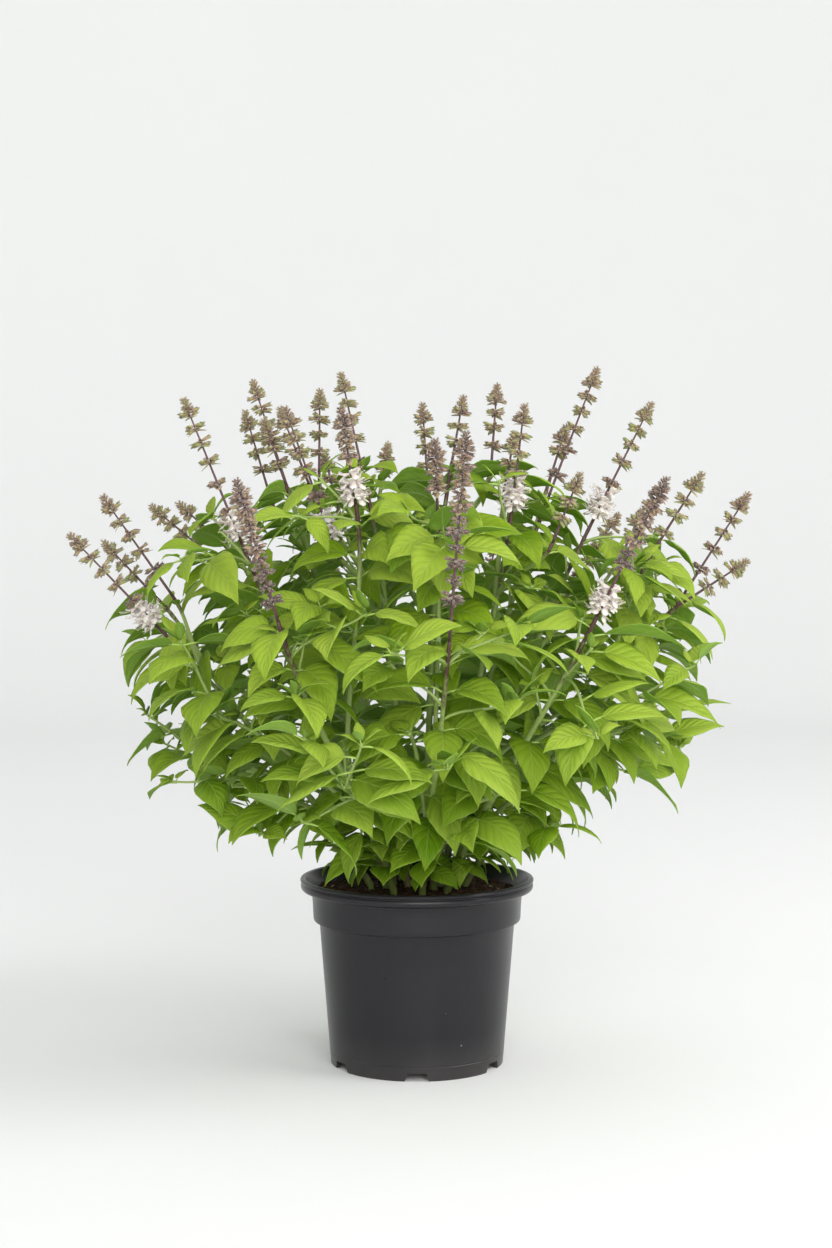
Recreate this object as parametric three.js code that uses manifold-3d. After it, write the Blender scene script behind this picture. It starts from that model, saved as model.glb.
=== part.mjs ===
// A flowering basil bush in a black plastic nursery pot. Millimetres, +Z up, with the origin on the
// surface that the pot stands on, under the middle of its base. The front faces -Y.

import * as THREE from "three";
import { mergeVertices } from "three/addons/utils/BufferGeometryUtils.js";
import Module from "manifold-3d";

// Pot: a 17 cm nursery pot with a rolled rim, a collar and a tapering body on a notched foot.
const POT_SIDES = 32;
const POT_HEIGHT = 134;
const RIM_RADIUS = 85;
const MOUTH_RADIUS = 80.5;
const COLLAR_TOP_RADIUS = 77;
const COLLAR_FOOT_RADIUS = 75.6;
const COLLAR_FOOT = 103;
const RIM_FOOT = 124;
const BODY_TOP_RADIUS = 71.1;
const BASE_RADIUS = 62.6;
const WALL = 1.8;
const FOOT_WIDTH = 3.2;
const FLOOR_UNDERSIDE = 3;
const FLOOR_TOP = 5;

// Drainage notches, evenly round the foot with one at the front, reaching in under the floor's corner.
const NOTCHES = 6;
const NOTCH_FOOT_WIDTH = 17.5;
const NOTCH_TOP_WIDTH = 13.5;
const NOTCH_HEIGHT = 6;
const NOTCH_INNER_RADIUS = 54;

// Soil, about 10 mm below the rim, crowned and lumpy on top.
const SOIL_EDGE = 123;
const SOIL_CROWN = 126;
const SOIL_LUMP = 1.2;
const GAP = 0.3;

// Stems: half their thickness where they leave the soil, at a fork and at the foot of a spike.
const STEM_FOOT_HALF = 2.4;
const BRANCH_HALF = 1.7;
const SHOOT_HALF = 1.4;
const STEM_TOP_HALF = 1.15;
const BURIED = 25;
const ROOT_SPREAD = 0.18;
const LEAN_AT_SOIL = 0.25;
const CURVE_PULL = 0.35;

// Low leafy shoots: how far out and how high their ends stand, how far they turn from their stem's
// own side, and where along its main shoot they leave it.
const LOW_OUT = [105, 165];
const LOW_HIGH = [200, 262];
const LOW_TURN = [0.15, 0.7];
const LOW_START = [0.18, 0.34];
const LOW_TRIES = 20;

// Leaves: whole length with the stalk, low on the plant and at its top, and half the blade's width as
// a share of it. Opposite pairs stand wider apart from the top of a shoot down.
const LOW_LEAF = 66;
const TOP_LEAF = 54;
const LEAF_HALF_WIDTH = 0.215;
const LEAF_THICKNESS = 1.2;
const TOP_PAIR = 9;
const PAIR_STEP = 28;
const PAIR_GROWTH = 1.2;
const BARE_FOOT = 34;
const NODE_BAND = 2;
const DROOP = 1.5;
const FACE_OUT = 0.8;
const LEAF_TRIES = 8;

// The foliage's outline is an egg: its radius and height at the waist, and its reach above and below.
const BUSH_RADIUS = 238;
const BUSH_WAIST = 285;
const BUSH_ABOVE = 168;
const BUSH_BELOW = 152;

// Room kept round what is already grown: balls along each leaf, stem and spike. Close to its own root
// a leaf may come nearer to its own stem.
const LEAF_BALL = 3.4;
const STEM_BALL = 3.4;
const SPIKE_BALL = 8.5;
const ROOT_ZONE = 14;
const BALL_STEP = 6;

// Flower spikes: rings of calyces, wider apart towards the foot of the spike.
const CALYX_REACH = 7.2;
const RACHIS = 1.25;
const TIP_LENGTH = 11;
const RING_STEP = 10;
const RING_GROWTH = 1.2;
const FLOWERS_ABOVE_FOOT = 9;
const FLOWER_REACH = 15;

// Each leafy stem with its flowering shoots, the main one first. A shoot is given by the foot and the
// tip of its spike, and by whether open white flowers ring its foot.
const STEMS = {
  left: [
    { foot: [-185, -30, 317], tip: [-248, -45, 385], flowers: true },
    { foot: [-178, -4, 339], tip: [-230, -5, 413] },
    { foot: [-192, 28, 335], tip: [-236, 42, 379] },
  ],
  left_upper: [
    { foot: [-127, -15, 378], tip: [-169, -20, 483], flowers: true },
    { foot: [-150, 50, 380], tip: [-182, 58, 408] },
    { foot: [-160, 84, 368], tip: [-208, 103, 406] },
  ],
  back_left: [
    { foot: [-97, 50, 417], tip: [-125, 62, 501] },
    { foot: [-112, 82, 410], tip: [-134, 101, 480] },
    { foot: [-80, 30, 420], tip: [-103, 33, 479] },
    { foot: [-96, 8, 420], tip: [-113, 6, 469] },
  ],
  middle_left: [
    { foot: [-37, 2, 417], tip: [-56, 0, 503] },
    { foot: [-60, -40, 378], tip: [-94, -50, 475], flowers: true },
    { foot: [-74, 60, 430], tip: [-74, 72, 495] },
    { foot: [-65, 100, 418], tip: [-73, 112, 448] },
  ],
  front_left: [
    { foot: [-92, -150, 327], tip: [-117, -187, 421] },
    { foot: [-42, -95, 405], tip: [-52, -110, 472], flowers: true },
  ],
  front: [
    { foot: [21, -175, 315], tip: [31, -218, 451] },
    { foot: [14, -100, 400], tip: [12, -115, 450] },
  ],
  middle: [
    { foot: [26, 30, 437], tip: [35, 36, 488] },
    { foot: [8, 72, 426], tip: [4, 87, 485] },
    { foot: [57, 75, 438], tip: [62, 92, 500] },
    { foot: [-28, 112, 420], tip: [-22, 124, 456] },
  ],
  middle_right: [
    { foot: [67, -45, 400], tip: [76, -56, 477], flowers: true },
    { foot: [66, 8, 425], tip: [72, 10, 460] },
    { foot: [95, -65, 378], tip: [114, -80, 428] },
  ],
  back_right: [
    { foot: [98, 42, 410], tip: [137, 56, 510] },
    { foot: [104, 92, 430], tip: [117, 106, 469] },
  ],
  right_upper: [
    { foot: [130, 12, 395], tip: [174, 18, 482], flowers: true },
    { foot: [160, 88, 372], tip: [176, 100, 404] },
  ],
  front_right: [{ foot: [121, -130, 330], tip: [164, -167, 423], flowers: true }],
  right: [
    { foot: [197, 15, 340], tip: [246, 20, 415] },
    { foot: [190, -34, 335], tip: [237, -40, 366] },
    { foot: [168, -58, 375], tip: [200, -70, 428] },
  ],
  rear_left: [
    { foot: [-60, 176, 320], tip: [-84, 221, 395] },
    { foot: [-118, 142, 335], tip: [-158, 180, 396] },
  ],
  rear_right: [
    { foot: [52, 174, 325], tip: [72, 221, 400] },
    { foot: [124, 138, 342], tip: [164, 172, 400] },
  ],
};

const wasm = await Module();
wasm.setup();

const UP = new THREE.Vector3(0, 0, 1);
const point = ([x, y, z]) => new THREE.Vector3(x, y, z);

// Seeded draws, so that the plant grows the same each time.
let seed = 193;
function draw(low, high) {
  seed = (seed * 16807) % 2147483647;
  return low + ((high - low) * seed) / 2147483647;
}

// A closed geometry as a solid, and a solid as a named mesh.
function solid(geometry) {
  const bare = geometry.clone();
  bare.deleteAttribute("normal");
  bare.deleteAttribute("uv");
  const merged = mergeVertices(bare, 1e-4);
  return new wasm.Manifold(
    new wasm.Mesh({
      numProp: 3,
      vertProperties: new Float32Array(merged.attributes.position.array),
      triVerts: new Uint32Array(merged.index.array),
    }),
  );
}

function part(name, body, finish) {
  const { vertProperties, triVerts } = body.getMesh();
  const geometry = new THREE.BufferGeometry();
  geometry.setAttribute("position", new THREE.BufferAttribute(vertProperties, 3));
  geometry.setIndex(new THREE.BufferAttribute(triVerts, 1));
  geometry.computeVertexNormals();
  const mesh = new THREE.Mesh(geometry, new THREE.MeshStandardMaterial(finish));
  mesh.name = name;
  return mesh;
}

// Faces between two rings of points, each anticlockwise seen from the next ring. Rings of as many
// points are joined by four-sided sheets, split along the diagonal that stands out. Others may have
// different numbers of points, and a ring of one point closes an end.
function bridge(points, faces, low, high) {
  const m = low.length;
  const n = high.length;
  if (m === n) {
    low.forEach((a, k) => {
      const [b, c, d] = [low[(k + 1) % m], high[(k + 1) % m], high[k]];
      const plane = new THREE.Plane().setFromCoplanarPoints(points[a], points[b], points[d]);
      if (plane.distanceToPoint(points[c]) < 0) faces.push(a, b, d, b, c, d);
      else faces.push(a, b, c, a, c, d);
    });
    return;
  }
  let i = 0;
  let j = 0;
  while (i < (m > 1 ? m : 0) || j < (n > 1 ? n : 0)) {
    const along = m > 1 && i < m && (n === 1 || j >= n || (i + 1) / m <= (j + 1) / n);
    faces.push(low[i % m], along ? low[(i + 1) % m] : high[(j + 1) % n], high[j % n]);
    if (along) i++;
    else j++;
  }
}

function cap(faces, ring) {
  for (let i = 1; i + 1 < ring.length; i++) faces.push(ring[0], ring[i], ring[i + 1]);
}

function surface(points, faces) {
  const geometry = new THREE.BufferGeometry().setFromPoints(points);
  geometry.setIndex(faces);
  return solid(geometry);
}

// A skin over rings of points, closed at both ends, or round to its first ring again.
function skin(rings, round = false) {
  const points = [];
  const faces = [];
  const numbered = rings.map((ring) => ring.map((place) => points.push(place) - 1));
  for (let k = 0; k + 1 < numbered.length; k++) bridge(points, faces, numbered[k], numbered[k + 1]);
  if (round) {
    bridge(points, faces, numbered.at(-1), numbered[0]);
  } else {
    cap(faces, numbered[0].toReversed());
    cap(faces, numbered.at(-1));
  }
  return surface(points, faces);
}

// Pot
function lathe(profile) {
  const outline = profile.map(([r, z]) => new THREE.Vector2(r, z));
  const turned = new THREE.LatheGeometry(outline, POT_SIDES);
  return solid(turned.rotateX(Math.PI / 2));
}

function potBody() {
  const rim = POT_HEIGHT;
  const pot = lathe([
    [0, FLOOR_UNDERSIDE],
    [BASE_RADIUS - FOOT_WIDTH, FLOOR_UNDERSIDE],
    [BASE_RADIUS - FOOT_WIDTH, 0],
    [BASE_RADIUS, 0],
    [BODY_TOP_RADIUS, COLLAR_FOOT],
    [COLLAR_FOOT_RADIUS - 1, COLLAR_FOOT],
    [COLLAR_FOOT_RADIUS, COLLAR_FOOT + 2.5],
    [COLLAR_TOP_RADIUS, RIM_FOOT],
    [RIM_RADIUS, RIM_FOOT + 3.6],
    [RIM_RADIUS - 1.4, RIM_FOOT + 6.4],
    [RIM_RADIUS - 0.8, rim - 2],
    [RIM_RADIUS - 2.4, rim],
    [MOUTH_RADIUS + 0.5, rim],
    [COLLAR_TOP_RADIUS - WALL, RIM_FOOT],
    [COLLAR_FOOT_RADIUS - WALL, COLLAR_FOOT + 3],
    [BODY_TOP_RADIUS - WALL, COLLAR_FOOT],
    [BASE_RADIUS + 0.5 - WALL, FLOOR_TOP],
    [0, FLOOR_TOP],
  ]);
  const notch = new THREE.Shape([
    new THREE.Vector2(-NOTCH_FOOT_WIDTH / 2, 0),
    new THREE.Vector2(-NOTCH_FOOT_WIDTH / 2, -1),
    new THREE.Vector2(NOTCH_FOOT_WIDTH / 2, -1),
    new THREE.Vector2(NOTCH_FOOT_WIDTH / 2, 0),
    new THREE.Vector2(NOTCH_TOP_WIDTH / 2, NOTCH_HEIGHT),
    new THREE.Vector2(-NOTCH_TOP_WIDTH / 2, NOTCH_HEIGHT),
  ]);
  const depth = BASE_RADIUS + 3 - NOTCH_INNER_RADIUS;
  let cut = pot;
  for (let i = 0; i < NOTCHES; i++) {
    const cutter = new THREE.ExtrudeGeometry(notch, { depth, bevelEnabled: false });
    cutter.translate(0, 0, NOTCH_INNER_RADIUS).rotateX(Math.PI / 2);
    cutter.rotateZ((i * 2 * Math.PI) / NOTCHES);
    cut = cut.subtract(solid(cutter));
  }
  return cut;
}

// Soil: it fills the pot with the gap that touching pieces keep, and its top is lumpy.
function soilBody(stems) {
  const inside = (r) => r - WALL - GAP - 0.1;
  const top = (share) => SOIL_CROWN + (SOIL_EDGE - SOIL_CROWN) * share ** 2;
  const edge = inside(COLLAR_TOP_RADIUS);
  const outline = [
    [0, FLOOR_TOP + GAP],
    [inside(BASE_RADIUS + 0.5), FLOOR_TOP + GAP],
    [inside(BODY_TOP_RADIUS), COLLAR_FOOT + 0.5],
    [inside(COLLAR_FOOT_RADIUS), COLLAR_FOOT + 3.5],
    [edge, SOIL_EDGE],
    [edge * 0.72, top(0.72)],
    [edge * 0.38, top(0.38)],
    [0, SOIL_CROWN],
  ].map(([r, z]) => new THREE.Vector2(r, z));
  const turned = new THREE.LatheGeometry(outline, POT_SIDES).rotateX(Math.PI / 2);
  const place = turned.attributes.position;
  for (let i = 0; i < place.count; i++) {
    const x = place.getX(i);
    const y = place.getY(i);
    const z = place.getZ(i);
    const lump = SOIL_LUMP * Math.sin(x / 7) * Math.cos(y / 9 + x / 23);
    if (z > SOIL_EDGE - 1) place.setZ(i, z + lump);
  }
  let soil = solid(turned);
  const half = STEM_FOOT_HALF + GAP;
  for (const stem of stems) {
    const hole = new THREE.BoxGeometry(2 * half, 2 * half, 2 * BURIED);
    hole.rotateZ(stem.lean).translate(stem.root.x, stem.root.y, SOIL_CROWN + GAP);
    soil = soil.subtract(solid(hole));
  }
  return soil;
}

// Axes: the main shoot of a stem rises from the soil to the foot of its spike, and the others fork
// from it.
function curve(start, startWay, end, endWay) {
  const pull = CURVE_PULL * start.distanceTo(end);
  const leave = start.clone().addScaledVector(startWay, pull);
  const arrive = end.clone().addScaledVector(endWay, -pull);
  return new THREE.CubicBezierCurve3(start, leave, arrive, end);
}

function growStem(name, spikes) {
  const crown = point(spikes[0].foot);
  const root = new THREE.Vector3(crown.x * ROOT_SPREAD, crown.y * ROOT_SPREAD, SOIL_CROWN + 2);
  const lean = Math.atan2(crown.y, crown.x);
  const axes = [];
  spikes.forEach((spike, i) => {
    const end = point(spike.foot);
    const way = point(spike.tip).sub(end).normalize();
    let start = root;
    let leave = crown.clone().sub(root).normalize().addScaledVector(UP, LEAN_AT_SOIL).normalize();
    let half = STEM_FOOT_HALF;
    if (i > 0) {
      const share = Math.max(0.35, 1 - end.distanceTo(crown) / (0.7 * root.distanceTo(crown)));
      start = axes[0].path.getPoint(share);
      leave = end.clone().sub(start).normalize().add(axes[0].path.getTangent(share)).normalize();
      half = BRANCH_HALF;
    }
    axes.push({ path: curve(start, leave, end, way), half, main: i === 0, pairs: [] });
  });
  return { name, root, lean, axes };
}

// Low leafy shoots fill the bush's skirt, one on each side of a stem where there is room.
function growLowShoot(stem, side) {
  const main = stem.axes[0];
  for (let i = 0; i < LOW_TRIES; i++) {
    const turn = stem.lean + side * draw(...LOW_TURN);
    const out = draw(...LOW_OUT);
    const start = main.path.getPoint(draw(...LOW_START));
    const end = new THREE.Vector3(out * Math.cos(turn), out * Math.sin(turn), draw(...LOW_HIGH));
    const level = end.clone().sub(start).setZ(0).normalize();
    const leave = level.clone().addScaledVector(UP, 0.9).normalize();
    const arrive = level.clone().addScaledVector(UP, 0.35).normalize();
    const path = curve(start, leave, end, arrive);
    if (!isOpen(path, stem.name)) continue;
    stem.axes.push({ path, half: SHOOT_HALF, low: true, pairs: [] });
    claimPath(path, stem.name);
    return;
  }
}

// What is already grown, as balls that a new leaf or shoot keeps clear of.
const grown = [];

function claim(place, radius, stem) {
  grown.push({ place, radius, stem });
}

function pathPlaces(path) {
  const steps = Math.ceil(path.getPoint(0).distanceTo(path.getPoint(1)) / BALL_STEP);
  return Array.from({ length: steps + 1 }, (_, i) => path.getPoint(i / steps));
}

function claimPath(path, stem) {
  pathPlaces(path).forEach((place) => claim(place, STEM_BALL, stem));
}

function isOpen(path, stem) {
  return pathPlaces(path).every((place) =>
    grown.every((ball) => ball.stem === stem || ball.place.distanceTo(place) > ball.radius + STEM_BALL),
  );
}

function isClear(places, stem, root) {
  return places.every((place) => {
    const out = Math.hypot(place.x, place.y) / BUSH_RADIUS;
    const high = place.z - BUSH_WAIST;
    if (Math.hypot(out, high / (high > 0 ? BUSH_ABOVE : BUSH_BELOW)) > 1) return false;
    return grown.every(
      (ball) =>
        (ball.stem === stem && ball.place.distanceTo(root) < ROOT_ZONE) ||
        ball.place.distanceTo(place) > ball.radius + LEAF_BALL,
    );
  });
}

// A leaf: an arched midrib in an upright plane, which starts at an angle of rise above the level and
// bends down by droop. At a share u of its length, this gives the midrib's place, the way across the
// blade, which is the same all along it, and the way out of its face.
function leafFrame(leaf, u) {
  const { root, heading, rise, droop, roll, length } = leaf;
  const angle = rise - droop * u;
  const level = new THREE.Vector3(Math.cos(heading), Math.sin(heading), 0);
  const out = (length / droop) * (Math.sin(rise) - Math.sin(angle));
  const high = (length / droop) * (Math.cos(angle) - Math.cos(rise));
  const place = root.clone().addScaledVector(level, out).addScaledVector(UP, high);
  const across = new THREE.Vector3().crossVectors(UP, level).multiplyScalar(Math.cos(roll));
  across.addScaledVector(UP, Math.sin(roll));
  const way = level.clone().multiplyScalar(Math.cos(angle)).addScaledVector(UP, Math.sin(angle));
  const face = way.clone().cross(across).normalize();
  return { place, across, way, face };
}

// The leaf's sections, each a flat triangle with its ridge below: share of the length, and half width
// as a share of the widest. The first is the end of the stalk.
const SECTIONS = [
  [0.2, 0.09],
  [0.42, 1],
  [0.72, 0.72],
];

function leafRings(leaf) {
  const rings = SECTIONS.map(([u, width]) => {
    const { place, across, face } = leafFrame(leaf, u);
    const reach = width * leaf.length * LEAF_HALF_WIDTH;
    return [
      place.clone().addScaledVector(across, reach),
      place.clone().addScaledVector(across, -reach),
      place.clone().addScaledVector(face, -LEAF_THICKNESS),
    ];
  });
  return [...rings, [leafFrame(leaf, 1).place]];
}

function leafPlaces(leaf) {
  const places = [];
  for (const [u, width] of [
    [0.14, 0],
    [0.28, 0.4],
    [0.42, 0.9],
    [0.57, 0.85],
    [0.72, 0.6],
    [0.86, 0.25],
    [1, 0],
  ]) {
    const { place, across } = leafFrame(leaf, u);
    places.push(place);
    if (width > 0.3) {
      const reach = width * leaf.length * LEAF_HALF_WIDTH;
      places.push(place.clone().addScaledVector(across, reach));
      places.push(place.clone().addScaledVector(across, -reach));
    }
  }
  return places;
}

// The square stem at a share of its axis: the ways out of its four sides.
function stemFrame(stem, axis, share) {
  const way = axis.path.getTangent(share);
  const lean = new THREE.Vector3(Math.cos(stem.lean), Math.sin(stem.lean), 0);
  const side = new THREE.Vector3().crossVectors(way, lean).normalize();
  const face = new THREE.Vector3().crossVectors(side, way);
  const ways = [face.clone().negate(), side.clone().negate(), face, side];
  return { place: axis.path.getPoint(share), side, face, ways };
}

// Opposite pairs of leaves along an axis, each pair turned a quarter from the last. A leaf leaves the
// side of the stem that it faces best.
function growLeaves(stem, axis) {
  const long = axis.path.getPoint(0).distanceTo(axis.path.getPoint(1));
  const turn = draw(0, Math.PI);
  const bare = axis.main ? BARE_FOOT : 0.6 * BARE_FOOT;
  let far = axis.low ? NODE_BAND + 1 : TOP_PAIR;
  for (let k = 0, step = PAIR_STEP; far < long - bare; k++, far += step, step *= PAIR_GROWTH) {
    const share = 1 - far / long;
    const { place: root, ways } = stemFrame(stem, axis, share);
    const pair = { share, leaves: [null, null, null, null] };
    axis.pairs.push(pair);
    const high = Math.min(1, Math.max(0, (root.z - 160) / 260));
    const outward = Math.atan2(root.y, root.x);
    for (const opposite of [0, Math.PI]) {
      for (let i = 0; i < LEAF_TRIES; i++) {
        const free = turn + k * (Math.PI / 2) + opposite + draw(-0.5, 0.5);
        const swing = Math.atan2(Math.sin(outward - free), Math.cos(outward - free));
        const heading = free + swing * draw(0.25, 0.7);
        const leaf = {
          root,
          heading,
          rise: 0.1 + 0.5 * high + draw(-0.2, 0.35),
          droop: DROOP + draw(-0.35, 0.35),
          roll: FACE_OUT * Math.sin(heading - outward) + draw(-0.35, 0.35),
          length: (LOW_LEAF + (TOP_LEAF - LOW_LEAF) * high) * draw(0.8, 1.1),
        };
        const start = leafFrame(leaf, 0).way;
        const fits = ways.map((way, side) => (pair.leaves[side] ? -1 : way.dot(start)));
        const best = Math.max(...fits);
        if (best < 0.5) continue;
        const places = leafPlaces(leaf);
        if (!isClear(places, stem.name, root)) continue;
        places.forEach((place) => claim(place, LEAF_BALL, stem.name));
        pair.leaves[fits.indexOf(best)] = leaf;
        break;
      }
    }
  }
}

// An axis as one closed surface: a square stem whose thickness falls to the top, with the leaves of
// each pair drawn out of one of the two faces on their side of a short band.
function axisBody(stem, axis) {
  const points = [];
  const faces = [];
  const number = (ring) => ring.map((place) => points.push(place) - 1);
  const square = (share, half) => {
    const { place, side, face } = stemFrame(stem, axis, share);
    const corner = (a, b) => place.clone().addScaledVector(side, a * half).addScaledVector(face, b * half);
    return [corner(1, -1), corner(-1, -1), corner(-1, 1), corner(1, 1)];
  };
  const long = axis.path.getPoint(0).distanceTo(axis.path.getPoint(1));
  const halfAt = (share) => axis.half + (STEM_TOP_HALF - axis.half) * share;
  let below = number(square(0, axis.half));
  if (axis.main) {
    const drop = new THREE.Vector3(0, 0, SOIL_CROWN - BURIED + 2 * GAP - stem.root.z);
    const bottom = number(below.map((i) => flat(points[i], stem.root.z)));
    bottom.forEach((i) => points[i].add(drop));
    cap(faces, bottom.toReversed());
    bridge(points, faces, bottom, below);
  } else {
    cap(faces, below.toReversed());
  }
  for (const { share, leaves } of axis.pairs.toReversed()) {
    const band = leaves.some((leaf) => leaf) ? NODE_BAND / long : 0;
    const low = number(square(share - band, halfAt(share)));
    bridge(points, faces, below, low);
    below = low;
    if (!band) continue;
    const high = number(square(share + band, halfAt(share)));
    leaves.forEach((leaf, i) => {
      const j = (i + 1) % 4;
      const sheet = [low[i], low[j], high[j], high[i]];
      if (!leaf) return cap(faces, sheet);
      const rings = leafRings(leaf).map(number);
      const choices = [0, 1, 2, 3].flatMap((left) =>
        [1, 2, 3].map((turn) => {
          const rest = [1, 2, 3].map((k) => sheet[(left + 1 + ((k - 1 + turn) % 3)) % 4]);
          const twist = rest.reduce((sum, n, k) => sum + points[n].distanceTo(points[rings[0][k]]), 0);
          return { left, rest, twist };
        }),
      );
      const { left, rest } = choices.reduce((best, next) => (next.twist < best.twist ? next : best));
      faces.push(sheet[(left + 3) % 4], sheet[left], sheet[(left + 1) % 4]);
      let last = rest;
      for (const ring of rings) {
        bridge(points, faces, last, ring);
        last = ring;
      }
    });
    below = high;
  }
  const top = number(square(1, STEM_TOP_HALF));
  bridge(points, faces, below, top);
  cap(faces, top);
  return surface(points, faces);
}

function flat(place, level) {
  return place.clone().setZ(level);
}

function stemBody(stem) {
  return stem.axes.map((axis) => axisBody(stem, axis)).reduce((whole, piece) => whole.add(piece));
}

// Spikes: where the rings of calyces stand, as distances from the tip.
function ringPlaces(spike) {
  const long = point(spike.foot).distanceTo(point(spike.tip));
  const end = long - (spike.flowers ? 21 : 9);
  const places = [];
  for (let far = TIP_LENGTH + 3, step = RING_STEP; far < end; far += step, step *= RING_GROWTH) {
    places.unshift(far);
  }
  return places;
}

function spikeFrame(spike) {
  const foot = point(spike.foot);
  const way = point(spike.tip).sub(foot);
  const long = way.length();
  way.normalize();
  const side = new THREE.Vector3().crossVectors(way, new THREE.Vector3(0, 1, 0)).normalize();
  const front = new THREE.Vector3().crossVectors(way, side);
  const ring = (along, count, turn, reach) =>
    Array.from({ length: count }, (_, i) => {
      const angle = turn + (i * 2 * Math.PI) / count;
      const [out, drop] = reach(i);
      return foot
        .clone()
        .addScaledVector(way, along - drop)
        .addScaledVector(side, out * Math.cos(angle))
        .addScaledVector(front, out * Math.sin(angle));
    });
  return { long, ring };
}

function spikeBody(spike) {
  const { long, ring } = spikeFrame(spike);
  const rachis = (along) => ring(along, 3, 0.4, () => [RACHIS, 0]);
  const star = (along, turn, reach) =>
    ring(along, 8, turn, (i) => (i % 2 ? [RACHIS + 0.7, -1] : [reach * draw(0.85, 1.15), 1]));
  const rings = [rachis(GAP)];
  let below = 0;
  ringPlaces(spike).forEach((far, i) => {
    const along = long - far;
    rings.push(rachis(i === 0 ? along - 5 : (along + below) / 2));
    rings.push(star(along, draw(-0.3, 0.3) + (i % 2) * (Math.PI / 4), CALYX_REACH));
    below = along;
  });
  rings.push(rachis((below + long - TIP_LENGTH * 0.6) / 2));
  rings.push(star(long - TIP_LENGTH * 0.6, draw(0, 1), CALYX_REACH * 0.6));
  rings.push(ring(long, 1, 0, () => [0, 0]));
  return skin(rings);
}

// A ring of open flowers: a collar round the rachis with six pointed florets that turn up.
function flowersBody(spike) {
  const { ring } = spikeFrame(spike);
  const bore = RACHIS + GAP + 0.6;
  const along = FLOWERS_ABOVE_FOOT;
  const inner = (high) => ring(along + high, 6, 0.2, () => [bore, 0]);
  const florets = ring(along, 12, 0.2, (i) =>
    i % 2 ? [bore + 2.5, 0] : [FLOWER_REACH * draw(0.8, 1.05), draw(-3.5, 0)],
  );
  return skin([inner(3), inner(-3), florets], true);
}

const stems = Object.entries(STEMS).map(([name, spikes]) => growStem(name, spikes));
for (const stem of stems) stem.axes.forEach((axis) => claimPath(axis.path, stem.name));
for (const [name, spikes] of Object.entries(STEMS)) {
  for (const spike of spikes) {
    const foot = point(spike.foot);
    const way = point(spike.tip).sub(foot);
    const steps = Math.ceil(way.length() / BALL_STEP);
    for (let i = 1; i <= steps; i++) {
      claim(foot.clone().addScaledVector(way, i / steps), SPIKE_BALL, name);
    }
    if (!spike.flowers) continue;
    claim(foot.clone().addScaledVector(way.normalize(), FLOWERS_ABOVE_FOOT), FLOWER_REACH, name);
  }
}
for (const stem of stems) [-1, 1].forEach((side) => growLowShoot(stem, side));
for (const stem of stems) {
  for (const axis of stem.axes) growLeaves(stem, axis);
}

const POT_FINISH = { color: 0x3a383c, roughness: 0.5, metalness: 0 };
const SOIL_FINISH = { color: 0x1f130b, roughness: 1, metalness: 0 };
const LEAF_FINISH = { color: 0x5b9330, roughness: 0.55, metalness: 0 };
const SPIKE_FINISH = { color: 0x6d5750, roughness: 0.8, metalness: 0 };
const FLOWER_FINISH = { color: 0xefe6ec, roughness: 0.7, metalness: 0 };

const plant = new THREE.Group();
plant.add(part("pot", potBody(), POT_FINISH));
plant.add(part("soil", soilBody(stems), SOIL_FINISH));
for (const stem of stems) plant.add(part("stem_" + stem.name, stemBody(stem), LEAF_FINISH));
for (const [name, spikes] of Object.entries(STEMS)) {
  spikes.forEach((spike, i) => {
    plant.add(part(`spike_${name}_${i + 1}`, spikeBody(spike), SPIKE_FINISH));
    if (!spike.flowers) return;
    plant.add(part(`flowers_${name}_${i + 1}`, flowersBody(spike), FLOWER_FINISH));
  });
}

export default plant;
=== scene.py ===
# Potted basil in flower: a half-metre bush of green leaves and purple-brown flower spikes in a black
# plastic nursery pot. Metres, +Z up, and the front faces -Y. Sizes named here are in millimetres.
import math
from functools import partial

import bpy
import numpy as np
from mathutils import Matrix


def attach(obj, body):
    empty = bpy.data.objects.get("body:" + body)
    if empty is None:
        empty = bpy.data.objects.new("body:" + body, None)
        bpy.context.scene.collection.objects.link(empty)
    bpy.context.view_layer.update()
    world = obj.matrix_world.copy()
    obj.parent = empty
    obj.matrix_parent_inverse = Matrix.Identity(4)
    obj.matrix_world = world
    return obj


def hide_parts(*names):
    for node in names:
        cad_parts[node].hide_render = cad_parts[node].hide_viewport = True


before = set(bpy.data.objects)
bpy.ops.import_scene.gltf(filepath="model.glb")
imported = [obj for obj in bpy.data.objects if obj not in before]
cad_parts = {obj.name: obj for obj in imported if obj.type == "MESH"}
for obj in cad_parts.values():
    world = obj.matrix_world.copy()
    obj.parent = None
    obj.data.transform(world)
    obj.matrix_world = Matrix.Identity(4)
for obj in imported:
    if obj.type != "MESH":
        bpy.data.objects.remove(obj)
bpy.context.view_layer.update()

MM = 0.001
scene = bpy.context.scene
scene.view_settings.view_transform = "Standard"

# Camera: the photograph looks level from 1.6 m in front of the pot and a little above the middle of
# the bush, with its frame slid down so that the pot stands well above the lower edge.
IMAGE_HEIGHT = 1248
FOCAL_PIXELS = 2193
MIDDLE_ROW, HORIZON_ROW = 624, 520
LONG_SIDE = 36.0
EYE = (-0.7, -1600, 394)
camera = bpy.data.objects.new("camera", bpy.data.cameras.new("camera"))
scene.collection.objects.link(camera)
scene.camera = camera
camera.data.sensor_width = LONG_SIDE
camera.data.lens = FOCAL_PIXELS / IMAGE_HEIGHT * LONG_SIDE
camera.location = [c * MM for c in EYE]
camera.rotation_euler = (math.pi / 2, 0, 0)
camera.data.shift_y = (HORIZON_ROW - MIDDLE_ROW) / IMAGE_HEIGHT


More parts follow.
